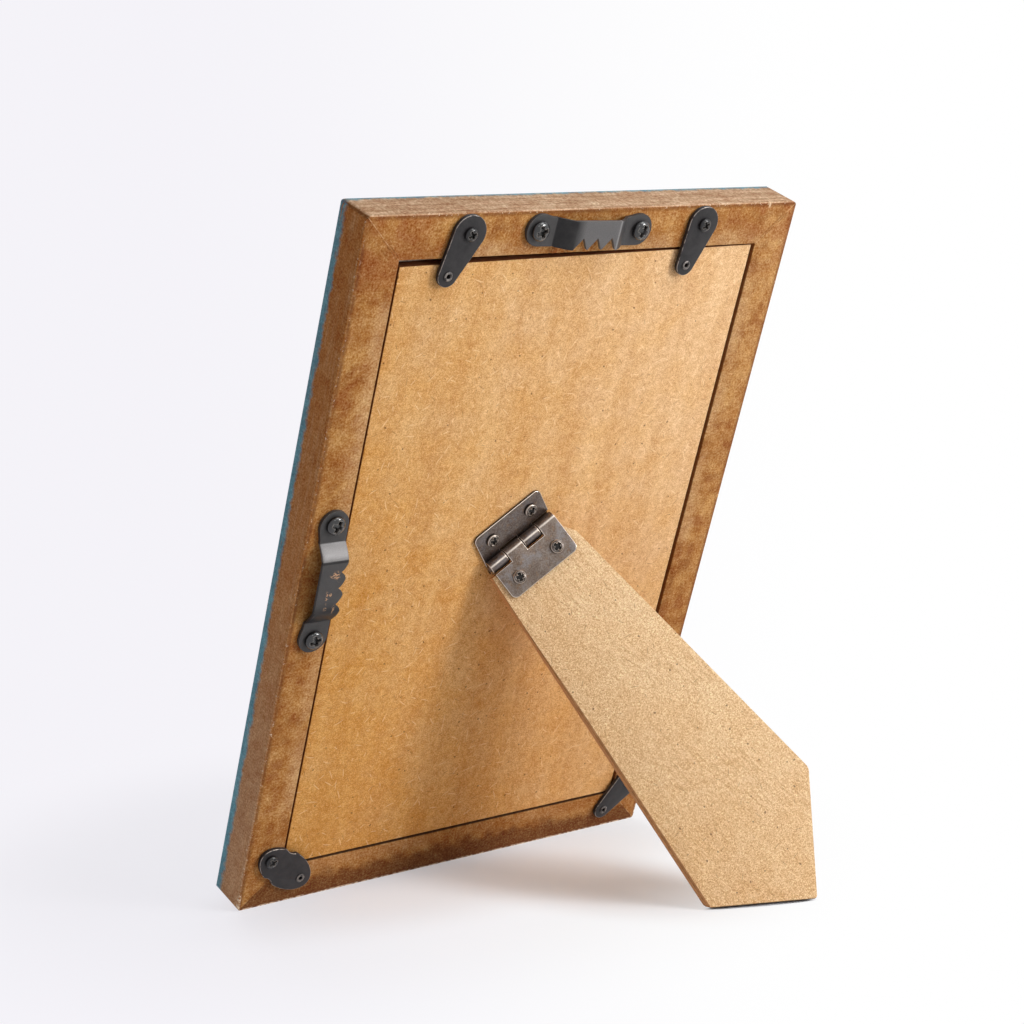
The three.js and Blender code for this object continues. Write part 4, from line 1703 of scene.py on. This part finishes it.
@dataclass
class OvalButton(TurnButton):
    """The wide oval turn button of one corner, nicked on both sides of its pivot end."""

    length: float = 17.9
    width: float = 9.7
    pivot_inset: float = 3.1
    eyelet_reach: float = 11.7
    notch_reach: float = 3.4
    notch_depth: float = 0.6
    notch_radius: float = 3.3

    def _eyelet_reach(self) -> float:
        """How far the eyelet is from the pivot."""
        return self.eyelet_reach

    def _plan(self, mesh: bmesh.types.BMesh) -> None:
        """Draws the oval, and draws its sides in at the nicks.

        Args:
            mesh: where it goes.
        """
        centre = self.length / 2 - self.pivot_inset
        verts = bmesh.ops.create_circle(mesh, cap_ends=False, radius=1.0, segments=2 * self.steps)["verts"]
        bmesh.ops.scale(mesh, vec=(self.width / 2, self.length / 2, 1), verts=verts)
        bmesh.ops.translate(mesh, vec=(0, centre, 0), verts=verts)
        share = (centre - self.notch_reach) / (self.length / 2)
        side = self.width / 2 * math.sqrt(1 - share * share) - self.notch_depth + self.notch_radius
        for vert in verts:
            nick = Vector((math.copysign(side, vert.co.x), self.notch_reach, 0))
            apart = vert.co - nick
            if apart.length < self.notch_radius:
                vert.co = nick + apart.normalized() * self.notch_radius


@dataclass
class EaselHinge:
    """The diagonal hinge: two leaves with rolled knuckles, their screws and the pin."""

    stance: Stance
    effects: Effects
    place: tuple = (-1.1, 92.7, 1.55)
    turn: float = 36.3
    opening: float = 39.8
    length: float = 20.1
    knuckles: int = 4
    barrel: float = 1.75
    thickness: float = 0.6
    reach: float = 9.4
    root: float = 1.85
    corner: float = 1.5
    gap: float = 0.24
    roll: float = 292.0
    roll_steps: int = 26
    # Turn of the roll at which the painted highlight runs along the knuckles, in degrees.
    crest_highlight: float = 45.5
    screw_spacing: float = 11.7
    screw_reach: float = 5.75
    screw_seat: float = 0.2
    pin_radius: float = 0.95
    pin_overhang: float = 0.3
    screw: CrossScrew = CrossScrew(1.65, 0.75, 0.7, 3.0, rim=0.4, slot_width=0.5, rim_wear=0.55, skirt_shade=1.0)
    edge: float = 0.18

    def base(self) -> Matrix:
        """The hinge's frame: X along the pin, Y up the fixed leaf, Z out of the panel."""
        return self.stance.back() @ at(*self.place, self.turn)

    def swung(self) -> Matrix:
        """The leg's frame: X along the pin, the leg towards -Y, Z out of its outer face."""
        return self.base() @ Matrix.Rotation(-math.radians(self.opening), 4, "X")

    def _mark(self, mesh: bmesh.types.BMesh, crest_highlight: float, outer_up: bool) -> None:
        """Marks a painted highlight along the knuckles and painted shade on the cut sides of the plate, bare
        along one rim.

        Args:
            mesh: the leaf, with its softened edges.
            crest_highlight: turn of the roll at which the painted highlight runs, in degrees.
            outer_up: whether the plate's outer face is its upper one in its own frame.
        """
        polish_and_sheen, side, wear = (mesh.verts.layers.float[name] for name in (POLISH_AND_SHEEN, SIDE_AND_SHADE, WEAR))
        turn = math.radians(crest_highlight)
        way = Vector((-math.sin(turn), -math.cos(turn)))
        near = math.cos(math.radians(self.roll / self.roll_steps) * 0.5)
        inner = -self.barrel + (0.0 if outer_up else self.thickness)
        for vert in mesh.verts:
            flat = vert.co.yz
            if abs(flat.length - self.barrel) < 0.05 and flat.normalized().dot(way) > near:
                vert[polish_and_sheen] = 1.0
            if vert.co.y > self.root + 0.05:
                height = vert.co.z + self.barrel
                # The plate's cut sides get painted shade.
                if ROUNDED * self.edge < height < self.thickness - ROUNDED * self.edge:
                    vert[side] = 1.0
                if abs(vert.co.z - inner) < self.edge:
                    vert[wear] = 0.0

    def _leaf(self, first: int, crest_highlight: float, outer_up: bool) -> bmesh.types.BMesh:
        """A leaf: a plate whose own knuckles are rolled round the pin.

        Args:
            first: the first knuckle that is its own.
            crest_highlight: turn of the roll at which the highlight is painted along the knuckles, in
                degrees.
            outer_up: whether the plate's outer face is its upper one in its own frame.

        Returns:
            The leaf, its plate towards Y under the barrel.
        """
        half, low = self.length / 2, -self.barrel
        pitch = self.length / self.knuckles
        own = [(max(-half, -half + k * pitch + self.gap / 2 * (k > 0)),
                min(half, -half + (k + 1) * pitch - self.gap / 2 * (k < self.knuckles - 1)))
               for k in range(first, self.knuckles, 2)]
        mesh = Shapes.start()
        Shapes.outline(mesh, [(-half, self.root, low), (half, self.root, low), (half, self.reach, low),
                              (-half, self.reach, low)])
        far = [vert for vert in mesh.verts if vert.co.y > self.reach - 0.01]
        Shapes.round_corners(mesh, far, self.corner, 8)
        for start, end in own:
            for place in (start, end):
                if abs(place) < half - 0.01:
                    Shapes.slice(mesh, (place, 0, 0), (1, 0, 0), keep=True)

        def is_root(edge: bmesh.types.BMEdge) -> bool:
            """Whether an edge carries one of the leaf's own knuckles."""
            middle = (edge.verts[0].co + edge.verts[1].co) / 2
            return abs(middle.y - self.root) < NEAR and any(start < middle.x < end for start, end in own)

        roots = [edge for edge in mesh.edges if is_root(edge)]
        made = bmesh.ops.extrude_edge_only(mesh, edges=roots)["geom"]
        moved = [item for item in made if isinstance(item, bmesh.types.BMVert)]
        bmesh.ops.translate(mesh, vec=(0, -self.root, 0), verts=moved)
        tips = [edge for edge in made if isinstance(edge, bmesh.types.BMEdge)
                and all(abs(vert.co.y) < NEAR for vert in edge.verts)]
        bmesh.ops.spin(mesh, geom=[*tips, *{vert for edge in tips for vert in edge.verts}], cent=(0, 0, 0),
                       axis=(1, 0, 0), angle=-math.radians(self.roll), steps=self.roll_steps)
        bmesh.ops.remove_doubles(mesh, verts=mesh.verts[:], dist=NEAR)
        Shapes.outward(mesh)
        plate = next(face for face in mesh.faces if face.calc_center_median().y > self.root)
        if plate.normal.z < 0:
            bmesh.ops.reverse_faces(mesh, faces=mesh.faces[:])
        bmesh.ops.solidify(mesh, geom=mesh.faces[:], thickness=-self.thickness)
        Shapes.outward(mesh)
        Shapes.soften(mesh, Shapes.sharp(mesh, 50.0), self.edge)
        self._mark(mesh, crest_highlight, outer_up)
        return mesh

    def _pin(self) -> bmesh.types.BMesh:
        """The pin, with domed ends.

        Returns:
            The pin along X.
        """
        mesh = Shapes.start()
        end, radius = self.length / 2 + self.pin_overhang, self.pin_radius
        profile = [(0, -end), (radius * 0.7, -end + 0.06), (radius, -end + 0.3), (radius, end - 0.3),
                   (radius * 0.7, end - 0.06), (0, end)]
        Shapes.turned(mesh, profile, 32, place=Matrix.Rotation(math.radians(90), 4, "Y"))
        return mesh

    def build(self) -> None:
        """Builds the leaves, the pin and the four screws."""
        base, swung = self.base(), self.swung()
        fixed = AgedSteel(self.effects, "aged_fixed")
        dull = AgedSteel(self.effects, "aged_screw", brown=tint(58, 48, 42), grey=tint(84, 74, 68),
                         blue=tint(80, 76, 76))
        moving = AgedSteel(self.effects, "aged_moving", brown=tint(92, 76, 64), grey=tint(122, 110, 102),
                           blue=tint(122, 119, 120))
        Piece("hinge_fixed_leaf", "frame", fixed).make(self._leaf(0, 180.0 + self.crest_highlight, True), base)
        flipped = swung @ Matrix.Rotation(math.pi, 4, "X")
        moving_leaf = self._leaf(1, self.crest_highlight - self.opening, False)
        Piece("hinge_moving_leaf", "leg", moving).make(moving_leaf, flipped)
        Piece("hinge_pin", "frame", fixed).make(self._pin(), base)
        for end, rank in ((-1, "lower"), (1, "upper")):
            x = end * self.screw_spacing / 2
            low = at(x, self.screw_reach, self.thickness - self.barrel + self.screw_seat, 35.0 * end)
            Piece(f"hinge_fixed_screw_{rank}", "frame", dull).make(self.screw.shape(), base @ low)
            high = at(x, -self.screw_reach, self.barrel + self.screw_seat, 20.0 * end)
            Piece(f"hinge_moving_screw_{rank}", "leg", dull).make(self.screw.shape(), swung @ high)


@dataclass
class EaselLeg:
    """The leg board, with a foot for upright use and one for sideways use."""

    hinge: EaselHinge
    effects: Effects
    top: float = 0.95
    thickness: float = 2.8
    corners: tuple = ((-11.1, -2.1), (-18.335, -96.123), (4.385, -112.143), (22.595, -86.318), (12.3, -6.0),
                      (9.9, -2.1))
    rounded: tuple = (1, 2, 3)
    foot_corner: float = 0.9
    edge: float = 0.16
    border_width: tuple = (0.12, 0.6)

    def build(self) -> None:
        """Builds the leg."""
        bottom = self.top - self.thickness
        mesh = Shapes.start()
        board = Shapes.outline(mesh, [(x, y, bottom) for x, y in self.corners])
        feet = [board.verts[index] for index in self.rounded]
        Shapes.round_corners(mesh, feet, self.foot_corner, 6)
        Shapes.push(mesh, mesh.faces[:], (0, 0, self.thickness))
        flat = [edge for edge in mesh.edges if abs(edge.verts[0].co.z - edge.verts[1].co.z) < NEAR]
        Shapes.soften(mesh, flat, self.edge)
        Shapes.mark_sides(mesh, bottom, self.top, self.edge)
        place = self.hinge.swung()
        (left, top), (left_foot, foot) = self.corners[:2]
        slope = (left_foot - left) / (foot - top)
        start, end = (Vector(corner) for corner in self.corners[1:3])
        outward = Vector((end.y - start.y, start.x - end.x)).normalized()
        finish = BareBoard(self.effects, place, place, "bare_leg",
                           tones=(tint(227, 184, 133), tint(232, 193, 146), tint(237, 202, 157)),
                           fade=(0.01, 0.003, 0.6), band=(0.1, 0.02), grain=3.8, grain_share=0.42,
                           blotch=0.04, lines=0.34, lines_turn=-8.0,
                           fibre_strengths=(0.18, 0.14, 0.34, 0.5, 0.8),
                           # The leg's cut sides are painted lighter than the panel's, as light against the
                           # shade they lie in.
                           cut=(tint(186, 134, 88), tint(216, 164, 114)),
                           border=(left - top * slope, slope, *self.border_width),
                           # Line along which the foot's contact shadow is painted.
                           foot_edge_line=(*outward, outward.dot(start)))
        Piece("easel_leg", "leg", finish).make(mesh, place)


@dataclass(frozen=True)
class Softbox:
    """A square soft light: the way to it, its distance and its side in metres, and its power in watts."""

    name: str
    way: tuple
    distance: float
    size: float
    power: float

    def hang(self, aim: Vector) -> None:
        """Hangs the light, pointed at its aim.

        Args:
            aim: what it points at, in metres.
        """
        light = bpy.data.lights.new(self.name, "AREA")
        light.shape = "SQUARE"
        light.size = self.size
        light.energy = self.power
        place = aim + Vector(self.way).normalized() * self.distance
        box = placed(self.name, light)
        box.location = place
        box.rotation_euler = (aim - place).to_track_quat("-Z", "Y").to_euler()


@dataclass(frozen=True)
class Oval:
    """A soft oval on the floor: its middle and half sizes in metres, and its turn in degrees.

    Its share goes from 0 to 1 between two distances from its middle, in lengths of the oval.
    """

    middle: tuple
    reach: tuple
    fade: tuple
    turn: float = 0.0


@dataclass
class Studio:
    """The floor, the soft light, the white surroundings and the camera."""

    lens: float = 83.577
    sensor: float = 36.0
    eye: tuple = (0.341479, 0.432485, 0.190782)
    right: tuple = (-0.79037, 0.61263, 0.00218)
    above: tuple = (-0.10356, -0.13711, 0.98513)
    ahead: tuple = (-0.60382, -0.77839, -0.17181)
    ambient: float = 0.195
    pale: tuple = (0.91, 0.895, 0.94, 1.0)
    white: tuple = (1.0, 1.0, 1.0, 1.0)
    nearest: float = 0.05
    slant: tuple = (-0.16, 0.14)
    floor_radius: float = 4.0
    floor_colour: tuple = (0.9, 0.905, 0.945, 1.0)
    floor_lift: tuple = (0.24, 0.46, 0.84)
    shaded: Oval = Oval((-0.018, 0.0), (0.021, 0.057), (1.3, 0.5), -30.0)
    open_floor: Oval = Oval((0.01, -0.05), (0.1, 0.085), (0.7, 1.4))
    beside_frame: Oval = Oval((0.0, -0.025), (0.075, 0.03), (0.4, 1.2))
    beside_foot: Oval = Oval((-0.0408, 0.03767), (0.0136, 0.0014), (0.9, 1.1), 22.96)
    aim: tuple = (0.0, 0.0, 0.085)
    lights: tuple = (
        Softbox("key_light", (-0.56, 0.8, 0.26), 0.9, 0.22, 3.78),
        Softbox("top_light", (-0.3, 0.6, 0.75), 1.0, 0.5, 3.8),
        Softbox("rim_light", (0.216, 0.871, 0.442), 0.9, 0.12, 0.34),
        Softbox("front_light", (-0.2, -1.0, 0.12), 1.0, 0.3, 5.6),
    )

    @staticmethod
    def _seen(graph: Graph) -> Socket:
        """Whether a ray is one that shows the surroundings: straight, in a reflection or through glass."""
        path = graph.add("ShaderNodeLightPath")
        either = graph.plus(path.outputs["Is Camera Ray"], path.outputs["Is Glossy Ray"])
        return graph.math("ADD", either, path.outputs["Is Transmission Ray"], clamp=True)

    def _backdrop(self, graph: Graph, way: Socket) -> Socket:
        """The backdrop's colour: pale on one side, white on the other, as a lit paper roll is.

        Args:
            graph: where it is read.
            way: direction from the camera's first place, fixed in the scene.

        Returns:
            The colour.
        """
        parts = []
        for axis in (self.right, self.ahead):
            node = graph.add("ShaderNodeVectorMath", operation="DOT_PRODUCT")
            graph.feed(node.inputs[0], way)
            node.inputs[1].default_value = axis
            parts.append(node.outputs["Value"])
        slant = graph.math("DIVIDE", parts[0], graph.math("MAXIMUM", parts[1], self.nearest))
        return graph.mix(graph.step(slant, *self.slant), self.pale, self.white)

    def _world(self) -> None:
        """Soft even light, which looks white."""
        world = bpy.data.worlds.new("studio")
        bpy.context.scene.world = world
        world.use_nodes = True
        graph = Graph(world.node_tree)
        sky = graph.add("ShaderNodeBackground")
        sky.inputs["Color"].default_value = self.white
        sky.inputs["Strength"].default_value = self.ambient
        way = graph.add("ShaderNodeTexCoord").outputs["Generated"]
        paper = graph.add("ShaderNodeBackground")
        graph.feed(paper.inputs["Color"], self._backdrop(graph, way))
        shown = graph.either(self._seen(graph), sky.outputs[0], paper.outputs[0])
        graph.feed(graph.add("ShaderNodeOutputWorld").inputs["Surface"], shown)

    def _glow(self, graph: Graph, spot: Socket) -> Socket:
        """How far the floor shows the backdrop's colour in place of its own.

        Args:
            graph: the floor's graph.
            spot: coordinates on the floor, in metres.

        Returns:
            The share, low in the shadow and 0 under the foot.
        """
        def share(oval: Oval) -> Socket:
            """The share of an oval at each place."""
            moved = graph.add("ShaderNodeVectorMath", operation="SUBTRACT")
            graph.feed(moved.inputs[0], spot)
            moved.inputs[1].default_value = (*oval.middle, 0.0)
            wide, deep = oval.reach
            node = graph.add("ShaderNodeVectorMath", operation="LENGTH")
            graph.feed(node.inputs[0], graph.stretch(moved.outputs[0], 1 / wide, 1 / deep, 0.0, oval.turn))
            return graph.step(node.outputs["Value"], *oval.fade)

        core, low, high = self.floor_lift
        lit = graph.spread(share(self.beside_frame), low, high)
        shadow = share(self.shaded)
        fade = graph.plus(graph.times(lit, graph.rest(shadow)), graph.times(shadow, core))
        fade = graph.plus(fade, graph.times(share(self.open_floor), graph.rest(fade)))
        return graph.times(fade, share(self.beside_foot), self._seen(graph))

    def _paper(self) -> bpy.types.Material:
        """The floor's material, which keeps the shadow and fades into the backdrop.

        Returns:
            The material.
        """
        material = bpy.data.materials.new("studio_floor")
        material.use_nodes = True
        graph = Graph(material.node_tree)
        spot = graph.add("ShaderNodeTexCoord").outputs["Object"]
        shader = graph.add("ShaderNodeBsdfPrincipled")
        shader.inputs["Base Color"].default_value = self.floor_colour
        shader.inputs["Roughness"].default_value = 0.8
        shader.inputs["Specular IOR Level"].default_value = 0.2
        from_eye = graph.add("ShaderNodeVectorMath", operation="SUBTRACT")
        graph.feed(from_eye.inputs[0], spot)
        from_eye.inputs[1].default_value = self.eye
        glow = graph.add("ShaderNodeEmission")
        graph.feed(glow.inputs["Color"], self._backdrop(graph, from_eye.outputs[0]))
        shown = graph.either(self._glow(graph, spot), shader.outputs[0], glow.outputs[0])
        graph.feed(graph.add("ShaderNodeOutputMaterial").inputs["Surface"], shown)
        return material

    def _floor(self) -> None:
        """A round pale floor."""
        mesh = bmesh.new()
        bmesh.ops.create_circle(mesh, cap_ends=True, radius=self.floor_radius, segments=96)
        data = bpy.data.meshes.new("floor")
        mesh.to_mesh(data)
        mesh.free()
        data.materials.append(self._paper())
        floor = placed("floor", data)

    def _camera(self) -> None:
        """The camera at the photograph's angle."""
        lens = bpy.data.cameras.new("camera")
        lens.sensor_width = self.sensor
        lens.lens = self.lens
        lens.clip_start = 0.01
        camera = placed("camera", lens)
        columns = Matrix((self.right, self.above, [-part for part in self.ahead])).transposed()
        camera.matrix_world = Matrix.Translation(self.eye) @ columns.to_4x4()
        bpy.context.scene.camera = camera

    def build(self) -> None:
        """Builds the camera, the light, the floor and the surroundings."""
        bpy.context.scene.view_settings.view_transform = "Standard"
        self._camera()
        self._world()
        self._floor()
        for light in self.lights:
            light.hang(Vector(self.aim))
        LOG.info("studio: camera, floor, %d lights", len(self.lights))


def hardware(stance: Stance, effects: Effects) -> list:
    """The hangers and turn buttons, each with its place on its rail.

    Args:
        stance: how the frame stands.
        effects: the shared effects.

    Returns:
        The sub-assemblies, ready to build.
    """
    half_width, half_height = stance.width / 2, stance.height / 2
    return [
        SawtoothHanger(stance, effects, Side.TOP, "top_hanger", along=1.5, inset=4.8, tilt=-1.5,
                       screw_names=("top_hanger_screw_right", "top_hanger_screw_left"),
                       teeth=Teeth.POINTED, notch_depth=2.9, notch_lean=-0.12,
                       raised_polish_sheen=0.5, ramp_polish_sheen=0.1, bend_polish_sheen=0.9, chips=False),
        SawtoothHanger(stance, effects, Side.LEFT, "side_hanger", along=-1.1, inset=6.2, tilt=0.0,
                       screw_names=("side_hanger_screw_upper", "side_hanger_screw_lower"),
                       teeth=Teeth.ROUND, notch_depth=1.8, notch_lean=0.08,
                       raised_polish_sheen=0.2, ramp_polish_sheen=0.72, bend_polish_sheen=0.0, chips=True),
        TurnButton(stance, effects, Side.TOP, "top_left", pivot=(half_width - 26.9, 4.5), turn=-21.0),
        TurnButton(stance, effects, Side.TOP, "top_right", pivot=(29.7 - half_width, 4.5), turn=-14.4),
        OvalButton(stance, effects, Side.LEFT, "bottom_left", pivot=(half_height - 14.0, 6.35), turn=-36.5),
        TurnButton(stance, effects, Side.RIGHT, "bottom_right", pivot=(14.0 - half_height, 6.35), turn=48.0),
    ]


def main() -> None:
    """Builds the studio and the frame's sub-assemblies in order."""
    logging.basicConfig(level=logging.INFO, format="%(name)s: %(message)s")
    stance = Stance()
    effects = Effects(stance)
    hinge = EaselHinge(stance, effects)
    assemblies = [Studio(), RailFrame(stance, effects), PictureStack(stance, effects, hinge.base()),
                  *hardware(stance, effects), hinge, EaselLeg(hinge, effects)]
    for assembly in assemblies:
        LOG.info("building %s", type(assembly).__name__)
        assembly.build()


if __name__ == "__main__":
    main()
